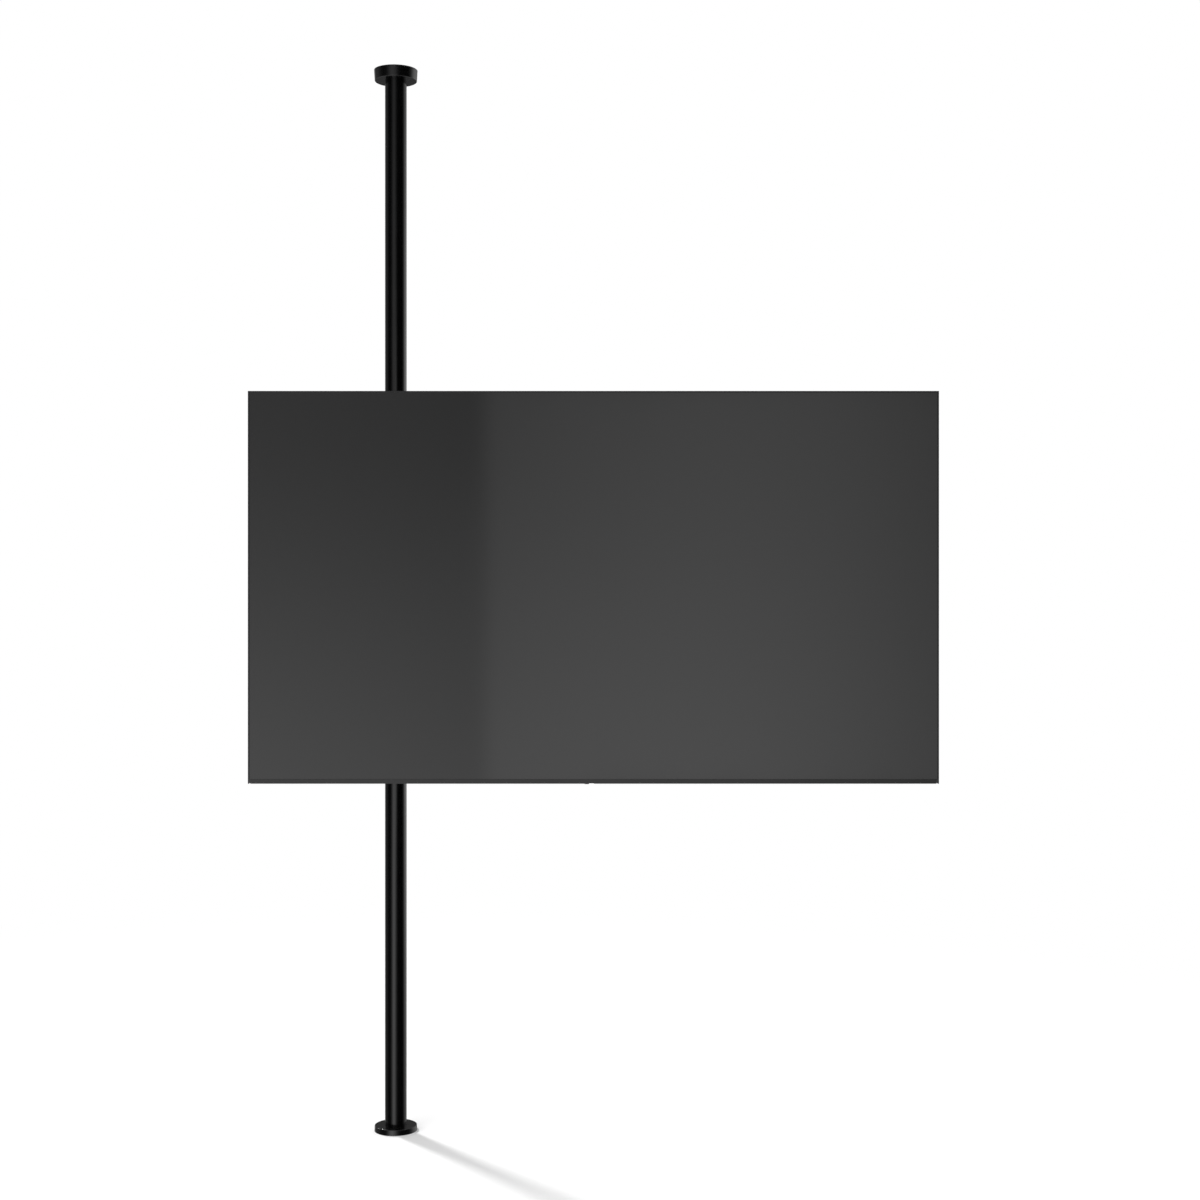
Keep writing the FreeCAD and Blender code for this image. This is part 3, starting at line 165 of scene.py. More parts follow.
# What mirrored rays see. Headings and spreads are in degrees, with 0 towards the camera. Heights are slopes.
FRONT_HEADING, FRONT_CLIMB, FRONT_FADE = (-14.0, 14.5), (-0.16, 0.13), (0.1, 0.35, 0.0, -0.28)
RIGHT_HEADING, RIGHT_HEIGHT = (123.0, 16.0), (0.02, 0.18)
LEFT_HEADING, LEFT_CLIMB = (-101.0, 17.0), (-0.2, 0.1, 0.075, 0.125)
CARD_HEADING, CARD_SIDE, CARD_CLIMB = (5.5, 7.2), (-3.95, -3.2), (-0.1, 0.12, 0.95, 0.85)
CARD_FOOT, CARD_HEAD = (-0.108, -0.099), (0.115, 0.123, 1.0, 0.0)
REAR_HEADING, REAR_HEIGHT = (30.0, 8.0), (-0.05, 0.35)
BACK_GLOW = (-0.2, 0.35, 0.003, 0.1)
DOME = (0.34, 0.8, 0.0, 0.7)
FLOOR_GLOW = (-0.7, -0.33, 0.65, 0.0)


class Wire:
    """An output in a node tree. Arithmetic on wires adds Math nodes."""

    def __init__(self, tree, socket=None):
        self.tree = tree
        self.socket = socket

    def node(self, kind, settings=None, inputs=None, output=0):
        """Adds a node, with its settings first and then the values or links of its inputs."""
        made = self.tree.nodes.new(kind)
        for name, value in (settings or {}).items():
            setattr(made, name, value)
        for name, value in (inputs or {}).items():
            if isinstance(value, Wire):
                self.tree.links.new(value.socket, made.inputs[name])
            else:
                made.inputs[name].default_value = value
        return Wire(self.tree, made.outputs[output])

    def end(self, kind):
        """Ends the tree with an output node that takes this shader."""
        output = self.tree.nodes.new(kind)
        self.tree.links.new(self.socket, output.inputs["Surface"])

    def math(self, operation, *values):
        """Adds a Math node."""
        return self.node("ShaderNodeMath", {"operation": operation}, dict(enumerate(values)))

    def __add__(self, other):
        return self.math("ADD", self, other)

    def __radd__(self, other):
        return self.math("ADD", other, self)

    def __sub__(self, other):
        return self.math("SUBTRACT", self, other)

    def __rsub__(self, other):
        return self.math("SUBTRACT", other, self)

    def __mul__(self, other):
        return self.math("MULTIPLY", self, other)

    def __rmul__(self, other):
        return self.math("MULTIPLY", other, self)

    def __truediv__(self, other):
        return self.math("DIVIDE", self, other)

    def __rtruediv__(self, other):
        return self.math("DIVIDE", other, self)

    def smooth(self, start, end, low=0.0, high=1.0):
        """A soft step from low to high as this wire goes from start to end."""
        reach = {"Value": self, "From Min": start, "From Max": end, "To Min": low, "To Max": high}
        return self.node("ShaderNodeMapRange", {"interpolation_type": "SMOOTHSTEP"}, reach)

    def bell(self, centre, width):
        """A bell curve of this wire."""
        away = (self - centre) / width
        return self.math("EXPONENT", away * away * -0.5)

    def split(self):
        """The three parts of a vector."""
        made = self.node("ShaderNodeSeparateXYZ", inputs={"Vector": self}).socket.node
        return [Wire(self.tree, part) for part in made.outputs]

    def blend(self, first, second):
        """A colour that goes from the first to the second with this wire."""
        first, second = [side if isinstance(side, Wire) else (*side, 1.0) for side in (first, second)]
        return self.node("ShaderNodeMix", {"data_type": "RGBA"}, {0: self, 6: first, 7: second}, 2)

    def place(self, stretch=(1, 1, 1)):
        """The place on the object, in metres, stretched along its axes."""
        spot = self.node("ShaderNodeTexCoord", output="Object")
        return self.node("ShaderNodeMapping", inputs={"Vector": spot, "Scale": stretch})

    def noise(self, size, detail=2.0, stretch=(1, 1, 1)):
        """Soft noise with grains of that size in metres."""
        inputs = {"Vector": self.place(stretch), "Scale": 1 / size, "Detail": detail}
        return self.node("ShaderNodeTexNoise", inputs=inputs)

    def bump(self, depth, strength=1.0, over=None):
        """A normal with this wire as its height, in shares of the depth, on top of another normal."""
        inputs = {"Height": self, "Distance": depth, "Strength": strength}
        if over:
            inputs["Normal"] = over
        return self.node("ShaderNodeBump", inputs=inputs)

    def round_edge(self, radius):
        """A normal that goes round the edges, and a mask that is 1 on them."""
        bent = self.node("ShaderNodeBevel", {"samples": 4}, {"Radius": radius})
        flat = self.node("ShaderNodeNewGeometry", output="Normal")
        turn = self.node("ShaderNodeVectorMath", {"operation": "DOT_PRODUCT"}, {0: bent, 1: flat}, "Value")
        return bent, turn.smooth(*EDGE_TURN, 1.0, 0.0)


def angles(degrees):
    """Angles in radians."""
    return [math.radians(angle) for angle in degrees]


def shade(colour, factor):
    """A colour made lighter or darker."""
    return tuple(min(1.0, part * factor) for part in colour)


def tones(colour, spread):
    """A darker and a lighter tone of a colour."""
    return shade(colour, 1 - spread), shade(colour, 1 + spread)


def open_finish(name):
    """A new material with an empty tree."""
    material = bpy.data.materials.new(name)
    material.use_nodes = True
    material.node_tree.nodes.clear()
    return material, Wire(material.node_tree)


def close_finish(material, wire, sockets):
    """Ends a material with a surface that takes these values or wires."""
    surface = wire.node("ShaderNodeBsdfPrincipled", inputs=sockets, output="BSDF")
    surface.end("ShaderNodeOutputMaterial")
    return material


def coat_finish(name, colour, roughness, grain, depth, spread, edge=0.8 * MM, wear=1.5, ior=1.5):
    """Baked powder coat: cloudy black with a fine orange-peel skin, a little rubbed on its edges."""
    material, wire = open_finish(name)
    bent, rim = wire.round_edge(edge)
    cloud = wire.noise(CLOUD, 3.0).smooth(*SOFT_STEP)
    peel = wire.noise(grain, 1.5)
    film = (cloud * 0.5 + peel * 0.5).blend(*tones(colour, 0.15))
    peel_spread = 0.04
    return close_finish(material, wire, {
        "Base Color": (rim * cloud).blend(film, shade(colour, wear)),
        "Roughness": (
            cloud * spread + peel * peel_spread - rim * peel_spread
            + (roughness - (spread + peel_spread) / 2)),
        "Normal": peel.bump(depth, over=bent),
        "IOR": ior,
    })


def plastic_finish(name, colour, roughness, grain, depth, edge=0.5 * MM):
    """Moulded plastic with an eroded mould texture and faint flow clouds."""
    material, wire = open_finish(name)
    bent, rim = wire.round_edge(edge)
    flow = wire.noise(FLOW, 3.0, (1, 1, 2.5)).smooth(*SOFT_STEP)
    skin = wire.noise(grain, 2.5)
    flow_spread, skin_spread, rim_polish = 0.05, 0.1, 0.06
    return close_finish(material, wire, {
        "Base Color": flow.blend(*tones(colour, 0.12)),
        "Roughness": (
            flow * flow_spread + skin * skin_spread - rim * rim_polish
            + (roughness - (flow_spread + skin_spread) / 2)),
        "Normal": skin.bump(depth, over=bent),
        "IOR": 1.48,
    })


def metal_finish(name, colour, roughness, metallic, stretch=(1, 1, 8)):
    """Plated or dyed metal with drawn streaks, a few dull patches and bright edges."""
    material, wire = open_finish(name)
    bent, rim = wire.round_edge(0.4 * MM)
    streak = wire.noise(STREAK, 3.0, stretch)
    patch = wire.noise(PATCH, 2.0).smooth(0.4, 0.75)
    skin = (streak * 0.6 + patch * 0.4).blend(shade(colour, 0.78), shade(colour, 1.15))
    spread, polish = 0.12, 0.1
    return close_finish(material, wire, {
        "Base Color": (rim * 0.6).blend(skin, shade(colour, 1.6)),
        "Roughness": streak * spread + patch * spread + (roughness - polish),
        "Metallic": metallic,
        "Normal": streak.bump(0.01 * MM, 0.5, bent),
    })


def panel_finish(name, colour, roughness):
    """The display's front: a dark film with a hard anti-glare skin and faint wiping marks."""
    material, wire = open_finish(name)
    wiped = wire.noise(WIPE, 2.0, (1, 1, 0.45)).smooth(0.35, 0.75)
    film = wire.noise(FILM, 1.0)
    spread = 0.02
    return close_finish(material, wire, {
        "Base Color": film.blend(*tones(colour, 0.05)),
        "Roughness": wiped * spread + (roughness - spread / 2),
        "IOR": 1.5,
    })


def board_finish(name, colour, face):
    """A circuit board: green mask over fine tracks, and dark parts above its face."""
    material, wire = open_finish(name)
    height = wire.place().split()[1]
    cells = {"Vector": wire.place((1, 0.01, 1)), "Scale": TRACKS}
    lines = wire.node("ShaderNodeTexVoronoi", {"distance": "CHEBYCHEV"}, cells, "Distance").smooth(0.42, 0.5)
    mask = lines.blend(colour, shade(colour, 1.9))
    parts = height.smooth(*[face + start for start in PARTS_START])
    return close_finish(material, wire, {
        "Base Color": parts.blend(mask, CHIP),
        "Roughness": parts * 0.25 + lines * 0.05 + 0.3,
        "Normal": lines.bump(0.03 * MM, 0.4),
    })


def strip_finish(name):
    """A white light strip with a yellow phosphor spot at each pitch."""
    material, wire = open_finish(name)
    along = wire.place().split()[0]
    spot = wire.math("PINGPONG", along, LIGHT_PITCH / 2).smooth(*LIGHT_SPOT, 1.0, 0.0)
    grain = wire.noise(STRIP_GRAIN)
    return close_finish(material, wire, {
        "Base Color": spot.blend(STRIP, PHOSPHOR),
        "Roughness": grain * 0.1 - spot * 0.15 + 0.4,
        "Normal": grain.bump(0.02 * MM),
    })


def contact_finish(name):
    """A socket's tongue: dark plastic with gilt contacts side by side."""
    material, wire = open_finish(name)
    across = wire.place().split()[0]
    wave = wire.math("PINGPONG", across, CONTACT_PITCH / 2)
    gilt = wave.smooth(CONTACT_PITCH * 0.2, CONTACT_PITCH * 0.26)
    return close_finish(material, wire, {
        "Base Color": gilt.blend(TONGUE, GOLD),
        "Metallic": gilt,
        "Roughness": 0.4 - gilt * 0.15,
        "Normal": gilt.bump(0.05 * MM, 0.6),
    })


def coat_nodes(slot, material):
    """Puts a material on every CAD node of a slot."""
    for row in frame["record"]["subparts"]:
        if row["material_slot"] == slot:
            materials = frame["nodes"][row["node"]].data.materials
            materials.clear()
            materials.append(material)


def to_mesh(name, shape):
    """A mesh from a bmesh, which is freed."""
    mesh = bpy.data.meshes.new(name)
    shape.to_mesh(mesh)
    shape.free()
    return mesh


def place_object(name, data):
    """A new object in the scene."""
    made = bpy.data.objects.new(name, data)
    bpy.context.scene.collection.objects.link(made)
    return made


def new_piece(name, body, material, shape, sharp=SHARP_ANGLE):
    """A finished object from a bmesh, which rides on a body."""
    bmesh.ops.remove_doubles(shape, verts=shape.verts, dist=MERGE_DISTANCE)
    bmesh.ops.recalc_face_normals(shape, faces=shape.faces)
    mesh = to_mesh(name, shape)
    mesh.shade_smooth()
    mesh.set_sharp_from_angle(angle=math.radians(sharp))
    mesh.materials.append(material)
    piece = place_object(name, mesh)
    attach(piece, body)
    return piece


def stand_in(node, name, shape, sharp=SHARP_ANGLE):
    """Puts a detailed piece in a CAD node's place, with its material and on its body."""
    solid = frame["nodes"][node]
    body = next(key for key, carrier in frame["bodies"].items() if carrier == solid.parent)
    piece = new_piece(name, body, solid.data.materials[0], shape, sharp)
    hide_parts(node)


def soften(shape, edges, offset, segments):
    """Rounds edges of a bmesh."""
    bmesh.ops.bevel(
        shape, geom=edges, offset=offset, affect="EDGES", segments=segments, profile=0.5, material=-1)


def add_rod(shape, segments, low, high, radius, top_radius=None):
    """Adds a closed rod or cone along Z to a bmesh."""
    bmesh.ops.create_cone(
        shape, cap_ends=True, segments=segments, radius1=radius, radius2=top_radius or radius,
        depth=high - low, matrix=Matrix.Translation((0, 0, (low + high) / 2)))


def add_block(shape, middle, size):
    """Adds a block to a bmesh and returns its edges."""
    place = Matrix.Translation(middle) @ Matrix.Diagonal((*size, 1))
    made = bmesh.ops.create_cube(shape, size=1.0, matrix=place)
    return list(dict.fromkeys(edge for vert in made["verts"] for edge in vert.link_edges))


def add_bead(shape, name, points, radius, closed):
    """Adds a rippled weld bead along points to a bmesh."""
    curve = bpy.data.curves.new(name, "CURVE")
    curve.dimensions = "3D"
    curve.bevel_depth = radius
    curve.bevel_resolution = 2
    curve.use_fill_caps = not closed
    spline = curve.splines.new("POLY")
    last = len(points) - 1
    spline.points.add(last)
    for i, (knot, spot) in enumerate(zip(spline.points, points)):
        knot.co = (*spot, 1.0)
        end = 1.0 if closed else min(1.0, BEAD_END + BEAD_GROW * min(i, last - i))
        knot.radius = end * (1.0 + BEAD_WAVE * math.sin(i * math.tau / RIPPLE_STEPS))
    spline.use_cyclic_u = closed
    holder = bpy.data.objects.new(name, curve)
    mesh = bpy.data.meshes.new_from_object(holder)
    shape.from_mesh(mesh)
    bpy.data.objects.remove(holder)
    bpy.data.curves.remove(curve)
    bpy.data.meshes.remove(mesh)


def add_copy(shape, one, stand):
    """Adds a small bmesh to a bmesh, set down by a matrix, and frees it."""
    bmesh.ops.transform(one, matrix=stand, verts=one.verts)
    mesh = to_mesh("one_part", one)
    shape.from_mesh(mesh)
    bpy.data.meshes.remove(mesh)


def standing(seat, out, corner):
    """A matrix that takes Z to the outward axis and Y to the corner's direction."""
    turn = Matrix((corner.cross(out), corner, out)).transposed().to_4x4()
    return Matrix.Translation(seat) @ turn


def everything(shape):
    """All verts, edges and faces of a bmesh."""
    return shape.verts[:] + shape.edges[:] + shape.faces[:]


def sink(shape, faces, deep):
    """Sinks faces of a bmesh along Z and returns the verts of the new floor."""
    grown = bmesh.ops.extrude_face_region(shape, geom=faces)
    floor = [part for part in grown["geom"] if isinstance(part, bmesh.types.BMVert)]
    bmesh.ops.translate(shape, verts=floor, vec=(0, 0, -deep))
    bmesh.ops.delete(shape, geom=faces, context="FACES_ONLY")
    return floor


def add_hexagon(shape, size, stand, bore=False):
    """Adds a bolt's head or a nut for a thread of that size, with chamfered corners."""
    one = bmesh.new()
    corner, tall = size * HEX_CORNER, size * HEX_TALL
    add_rod(one, 6, 0.0, tall, corner)
    flat = corner * math.cos(HALF_SIDE) * CHAMFER_START
    ends = ((tall, 1), (0.0, -1)) if bore else ((tall, 1),)
    for height, side in ends:
        for i in range(CHAMFER_CUTS):
            turn = math.tau * i / CHAMFER_CUTS
            away = Vector((math.cos(turn), math.sin(turn), 0))
            made = bmesh.ops.bisect_plane(
                one, geom=everything(one), clear_outer=True, plane_co=away * flat + UP * height,
                plane_no=away * math.sin(CHAMFER_SLOPE) + UP * side * math.cos(CHAMFER_SLOPE))
            rim = [part for part in made["geom_cut"] if isinstance(part, bmesh.types.BMEdge)]
            if rim:
                bmesh.ops.edgeloop_fill(one, edges=rim)
    if bore:
        lids = [face for face in one.faces if abs(face.normal.z) > NEARLY]
        bmesh.ops.inset_individual(one, faces=lids, thickness=flat - size / 2)
        rims = [edge for face in lids for edge in face.edges]
        bmesh.ops.delete(one, geom=lids, context="FACES_ONLY")
        bmesh.ops.bridge_loops(one, edges=rims)
    add_copy(shape, one, stand)


def add_cap(shape, size, stand):
    """Adds a round screw head for a thread of that size, with a knurled side and a hexagon socket."""
    one = bmesh.new()
    radius, tall, soft = size * CAP_R, size * CAP_TALL, size * CAP_ROUND
    add_rod(one, 2 * KNURLS, 0.0, tall, radius)
    soften(one, [e for e in one.edges if all(v.co.z > tall * NEARLY for v in e.verts)], soft, 2)
    for vert in one.verts:
        notch = round(math.atan2(vert.co.y, vert.co.x) / math.tau * 2 * KNURLS)
        if notch % 2 and vert.co.z < tall - soft * NEARLY:
            vert.co.xy *= KNURL_FOOT
    lid = max(one.faces, key=lambda face: face.calc_center_median().z)
    corner = size * SOCKET_CORNER
    bmesh.ops.inset_individual(one, faces=[lid], thickness=radius - soft - corner)
    for vert in lid.verts:
        turn = math.atan2(vert.co.y, vert.co.x)
        fold = (turn + HALF_SIDE) % (2 * HALF_SIDE) - HALF_SIDE
        vert.co.xy = vert.co.xy.normalized() * corner * math.cos(HALF_SIDE) / math.cos(fold)
    sink(one, [lid], size * SOCKET_DEEP)
    add_copy(shape, one, stand)


def add_shank(shape, size, long, stand):
    """Adds a bolt's shank below its seat, with a thread on its last stretch."""
    one = bmesh.new()
    pitch = size * THREAD_PITCH
    radius, root = size / 2, size / 2 - THREAD_DEEP * pitch
    turns = max(THREAD_TURNS, int(min(long * THREAD_SHARE, THREAD_LONG * size) / pitch))
    plain = long - (turns + 1) * pitch
    sunk = pitch / 2
    add_rod(one, THREAD_STEPS, -plain, sunk, radius)
    add_rod(one, THREAD_STEPS, -long, sunk - plain, root)
    start, inner = -long + pitch / 2, root - pitch * THREAD_SUNK
    spots = [(radius if crest else inner, 0, start + share * pitch) for crest, share in RIDGE]
    profile = [one.verts.new(spot) for spot in spots]
    ridge = [one.edges.new(pair) for pair in zip(profile, profile[1:] + profile[:1])]
    bmesh.ops.spin(
        one, geom=profile + ridge, cent=(0, 0, 0), axis=(0, 0, 1), dvec=(0, 0, pitch / THREAD_STEPS),
        angle=math.tau * turns, steps=THREAD_STEPS * turns, use_merge=False, use_duplicate=False)
    bmesh.ops.holes_fill(one, edges=one.edges, sides=4)
    add_copy(shape, one, stand)


def run(start, end, step):
    """Points along a straight line, about a step apart."""
    start, end = Vector(start), Vector(end)
    count = max(3, round((end - start).length / step))
    return [start.lerp(end, i / count) for i in range(count + 1)]


def rounded_outline(half_wide, half_tall, corner, step):
    """Points around a rectangle with round corners, about a step apart."""
    points = []
    inner = ((1, 1, 0), (-1, 1, 90), (-1, -1, 180), (1, -1, 270))
    centres = [((half_wide - corner) * i, (half_tall - corner) * k, turn) for i, k, turn in inner]
    for index, (x, z, turn) in enumerate(centres):
        arc = angles(turn + 90 / CORNER_STEPS * i for i in range(CORNER_STEPS + 1))
        points += [Vector((x + corner * math.cos(a), z + corner * math.sin(a), 0)) for a in arc]
        x, z, turn = centres[(index + 1) % 4]
        a = math.radians(turn)
        points += run(points[-1], (x + corner * math.cos(a), z + corner * math.sin(a), 0), step)[1:-1]
    return points


LengthProperty = partial(FloatProperty, unit="LENGTH")
ColourProperty = partial(FloatVectorProperty, subtype="COLOR")


class MountSizes(bpy.types.PropertyGroup):
    """Sizes that the welds and ribs follow."""

    beam_tall: LengthProperty(
        name="Beam Height", description="Height of the swing arm's beam", default=0.08)
    beam_thick: LengthProperty(
        name="Beam Thickness", description="Thickness of the swing arm's beam", default=0.03)
    beam_corner: LengthProperty(name="Beam Corner", description="Corner radius of the beam", default=0.004)
    barrel_r: LengthProperty(
        name="Barrel Radius", description="Radius of the arm's head barrel", default=0.02208)
    yoke_sheet: LengthProperty(
        name="Yoke Plate", description="Thickness of the yoke's plates", default=0.006)
    yoke_depth: LengthProperty(
        name="Yoke Depth", description="Pivot to the front of the yoke's web", default=0.076)
    bead: LengthProperty(name="Weld Bead", description="Radius of the weld beads", default=0.0024)
    ripple: LengthProperty(
        name="Weld Ripple", description="Length of a quarter ripple along a weld", default=0.0011)
    rib_wide: LengthProperty(
        name="Rib Width", description="Width of the ribs pressed into the chassis", default=0.018)
    rib_tall: LengthProperty(name="Rib Height", description="How far the ribs stand out", default=0.0016)
    rib_count: IntProperty(
        name="Ribs", description="Number of ribs on each side of the rear cover", default=7, min=2)


class MountColours(bpy.types.PropertyGroup):
    """Colours of the finishes."""

    coat: ColourProperty(
        name="Pole Coat", description="Satin coat of the pole", default=(0.0016, 0.0016, 0.0017))
    end_cover: ColourProperty(
        name="End Covers", description="Satin coat of the ceiling cup and the floor rosette",
        default=(0.003, 0.003, 0.0031))
    bracket: ColourProperty(
        name="Bracket Coat", description="Textured coat of the arm, head and rails",
        default=(0.03, 0.03, 0.0307))
    zinc: ColourProperty(
        name="Zinc", description="Plated nuts, washers and posts", default=(0.56, 0.57, 0.58))
    oxide: ColourProperty(
        name="Black Oxide", description="Blackened bolts and screws", default=(0.035, 0.034, 0.033))
    nylon: ColourProperty(name="Nylon", description="Bushes", default=(0.055, 0.055, 0.058))
    frame: ColourProperty(
        name="Frame", description="Dyed frame bars of the screen", default=(0.0157, 0.0157, 0.0165))
    trim: ColourProperty(
        name="Trim", description="Strip under the display", default=(0.0045, 0.0045, 0.0047))
    display: ColourProperty(
        name="Display", description="Front of the display when it is off", default=(0.0091, 0.0091, 0.0092))
    cover: ColourProperty(name="Rear Cover", description="Moulded rear cover", default=(0.034, 0.034, 0.035))
    board: ColourProperty(name="Circuit Board", description="Solder mask", default=(0.015, 0.11, 0.045))


class StudioSetup(bpy.types.PropertyGroup):
    """Camera, floor and lights."""

    camera: FloatVectorProperty(
        name="Camera", description="Where the camera stands", subtype="TRANSLATION",
        default=(0.4818, -4.326, 1.2506))
    lens: FloatProperty(
        name="Lens", description="Focal length in millimetres on a 36 mm sensor", default=54.99,
        unit="CAMERA")
    floor_paint: ColourProperty(
        name="Floor Paint", description="Matt paint of the floor", default=(0.92, 0.92, 0.92))
    floor_lift: FloatProperty(
        name="Floor Lift", description="Light that the camera sees on the floor everywhere", default=0.06)
    sun_from: FloatVectorProperty(
        name="Key Direction", description="Where the key light comes from", subtype="XYZ",
        default=(-0.612, 0.791, 1.19))
    sun_power: FloatProperty(name="Key Power", description="Strength of the key light", default=1.75)
    sun_spread: FloatProperty(
        name="Key Spread", description="Angle that the key light fills", subtype="ANGLE",
        default=math.radians(5.8))
    fill_at: FloatVectorProperty(
        name="Fill", description="Where the fill light stands", subtype="TRANSLATION",
        default=(-1.7, -2.7, 0.8))
    fill_size: LengthProperty(name="Fill Size", description="Width of the fill light", default=2.8)
    fill_power: FloatProperty(
        name="Fill Power", description="Watts of the fill light", default=80.0, unit="POWER")
    ambient: FloatProperty(name="Ambient", description="Even light from all around", default=0.6)
    box_low: FloatProperty(
        name="Softbox Below", description="Strength of the large softbox at its foot", default=1.55)
    box_high: FloatProperty(
        name="Softbox Above", description="Strength of the large softbox at its head", default=0.6)
    side: FloatProperty(
        name="Side Softbox", description="Strength of the softbox behind on the right", default=1.7)
    rear: FloatProperty(
        name="Rear Softboxes", description="Strength of the two softboxes behind", default=0.5)


class PoleMountSettings(bpy.types.PropertyGroup):
    """All settings of the add-on."""

    sizes: PointerProperty(type=MountSizes, name="Sizes", description="Sizes of the added details")
    colours: PointerProperty(type=MountColours, name="Colours", description="Colours of the finishes")
    studio: PointerProperty(type=StudioSetup, name="Studio", description="Camera, floor and lights")


class POLEMOUNT_OT_pole(bpy.types.Operator):
    """Finish the pole and the covers at its ends"""

    bl_idname = "polemount.pole"
    bl_label = "Pole and Covers"

    def execute(self, context):
        colours = context.scene.pole_mount.colours
        coat_nodes("pole_coat", coat_finish(
            "satin_pole_coat", colours.coat, roughness=0.155, grain=0.7 * MM, depth=0.008 * MM, spread=0.04))
        coat_nodes("cover_coat", coat_finish(
            "satin_cover_coat", colours.end_cover, roughness=0.16, grain=0.7 * MM, depth=0.01 * MM,
            spread=0.05, edge=1.5 * MM, ior=1.54))
        coat_nodes("ring_rubber", plastic_finish(
            "grip_rubber", RUBBER, roughness=0.72, grain=0.6 * MM, depth=0.03 * MM))
        return {"FINISHED"}


class POLEMOUNT_OT_bracket(bpy.types.Operator):
    """Finish the collars, the arm, the head and the rails"""

    bl_idname = "polemount.bracket"
    bl_label = "Bracket"

    def execute(self, context):
        colours = context.scene.pole_mount.colours
        coat_nodes("bracket_coat", coat_finish(
            "textured_bracket_coat", colours.bracket, roughness=0.5, grain=1.1 * MM, depth=0.1 * MM,
            spread=0.1, edge=0.9 * MM, wear=2.2))
        coat_nodes("nylon", plastic_finish(
            "turned_nylon", colours.nylon, roughness=0.45, grain=0.8 * MM, depth=0.02 * MM))
        return {"FINISHED"}


class POLEMOUNT_OT_fasteners(bpy.types.Operator):
    """Finish the bolts, nuts, washers and posts"""

    bl_idname = "polemount.fasteners"
    bl_label = "Fasteners"

    def execute(self, context):
        colours = context.scene.pole_mount.colours
        coat_nodes("zinc_steel", metal_finish("zinc_plating", colours.zinc, roughness=0.32, metallic=1.0))
        coat_nodes("dark_steel", metal_finish("black_oxide", colours.oxide, roughness=0.4, metallic=0.85))
        return {"FINISHED"}


def build_pivot_bolt():
    """The upright bolt and nut that the head turns on."""
    low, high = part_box("pivot_bolt")
    size = (high.x - low.x) / 2 / HEX_CORNER
    seat = (low + high) / 2
    seat.z = high.z - size * HEX_TALL
    stand = standing(seat, UP, RIGHT)
    bolt, nut = bmesh.new(), bmesh.new()
    add_hexagon(bolt, size, stand)
    add_shank(bolt, size, seat.z - low.z, stand)
    seat.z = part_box("pivot_nut")[1].z
    add_hexagon(nut, size, standing(seat, -UP, RIGHT), True)
    stand_in("pivot_bolt", "pivot_hexagon_bolt", bolt)
    stand_in("pivot_nut", "pivot_hexagon_nut", nut)


def build_tilt_bolts():
    """The two bolts and nuts of the tilt axis."""
    low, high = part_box("tilt_bolts")
    near, far = [corner.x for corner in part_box("tilt_nuts")]
    size = (high.z - low.z) / 2 / HEX_CORNER
    middle = (low + high) / 2
    bolts, nuts = bmesh.new(), bmesh.new()
    for x, nut_x, out in ((low.x, near, -RIGHT), (high.x, far, RIGHT)):
        seat = Vector((x - out.x * size * HEX_TALL, middle.y, middle.z))
        stand = standing(seat, out, UP)
        add_hexagon(bolts, size, stand)
        add_shank(bolts, size, abs(seat.x - nut_x) + size * TAIL_LONG, stand)
        add_hexagon(nuts, size, standing(Vector((nut_x, middle.y, middle.z)), -out, UP), True)
    stand_in("tilt_bolts", "tilt_hexagon_bolts", bolts)
    stand_in("tilt_nuts", "tilt_hexagon_nuts", nuts)


def build_rail_bolts():
    """The nuts of the cross rails and the bolts that lock the hook rails."""
    low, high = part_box("cross_rail_nuts")
    size = (high.y - low.y) / HEX_TALL
    corner, flat = size * HEX_CORNER, size * HEX_CORNER * math.cos(HALF_SIDE)
    nuts, bolts = bmesh.new(), bmesh.new()
    for x in (low.x + corner, high.x - corner):
        for z in (low.z + flat, high.z - flat):
            add_hexagon(nuts, size, standing(Vector((x, low.y, z)), BACK, RIGHT), True)
    stand_in("cross_rail_nuts", "rail_hexagon_nuts", nuts)
    low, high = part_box("hook_lock_bolts")
    middle = (low + high) / 2
    size = (high.z - low.z) / 2 / HEX_CORNER
    for rail in ("left_hook_rail", "right_hook_rail"):
        near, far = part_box(rail)
        stand = standing(Vector((near.x, middle.y, middle.z)), -RIGHT, UP)
        add_hexagon(bolts, size, stand)
        add_shank(bolts, size, far.x - near.x + size, stand)
    stand_in("hook_lock_bolts", "lock_hexagon_bolts", bolts)


class POLEMOUNT_OT_hexagons(bpy.types.Operator):
    """Turn the hexagon bolts and nuts into chamfered ones with threaded ends"""

    bl_idname = "polemount.hexagons"
    bl_label = "Hexagon Bolts and Nuts"

    def execute(self, context):
        build_pivot_bolt()
        build_tilt_bolts()
        build_rail_bolts()
        return {"FINISHED"}


def build_four_screws(node, name, size, seat, long, out):
    """Four screws along Y at the corners of a node's box."""
    low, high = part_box(node)
    middle, reach = (low + high) / 2, (high - low) / 2
    inset = size * CAP_R
    shape = bmesh.new()
    for i in (-1, 1):
        for k in (-1, 1):
            x, z = middle.x + i * (reach.x - inset), middle.z + k * (reach.z - inset)
            stand = standing(Vector((x, seat, z)), out, RIGHT)
            add_cap(shape, size, stand)
            add_shank(shape, size, long, stand)
    stand_in(node, name, shape, SHARP_KNURL_ANGLE)


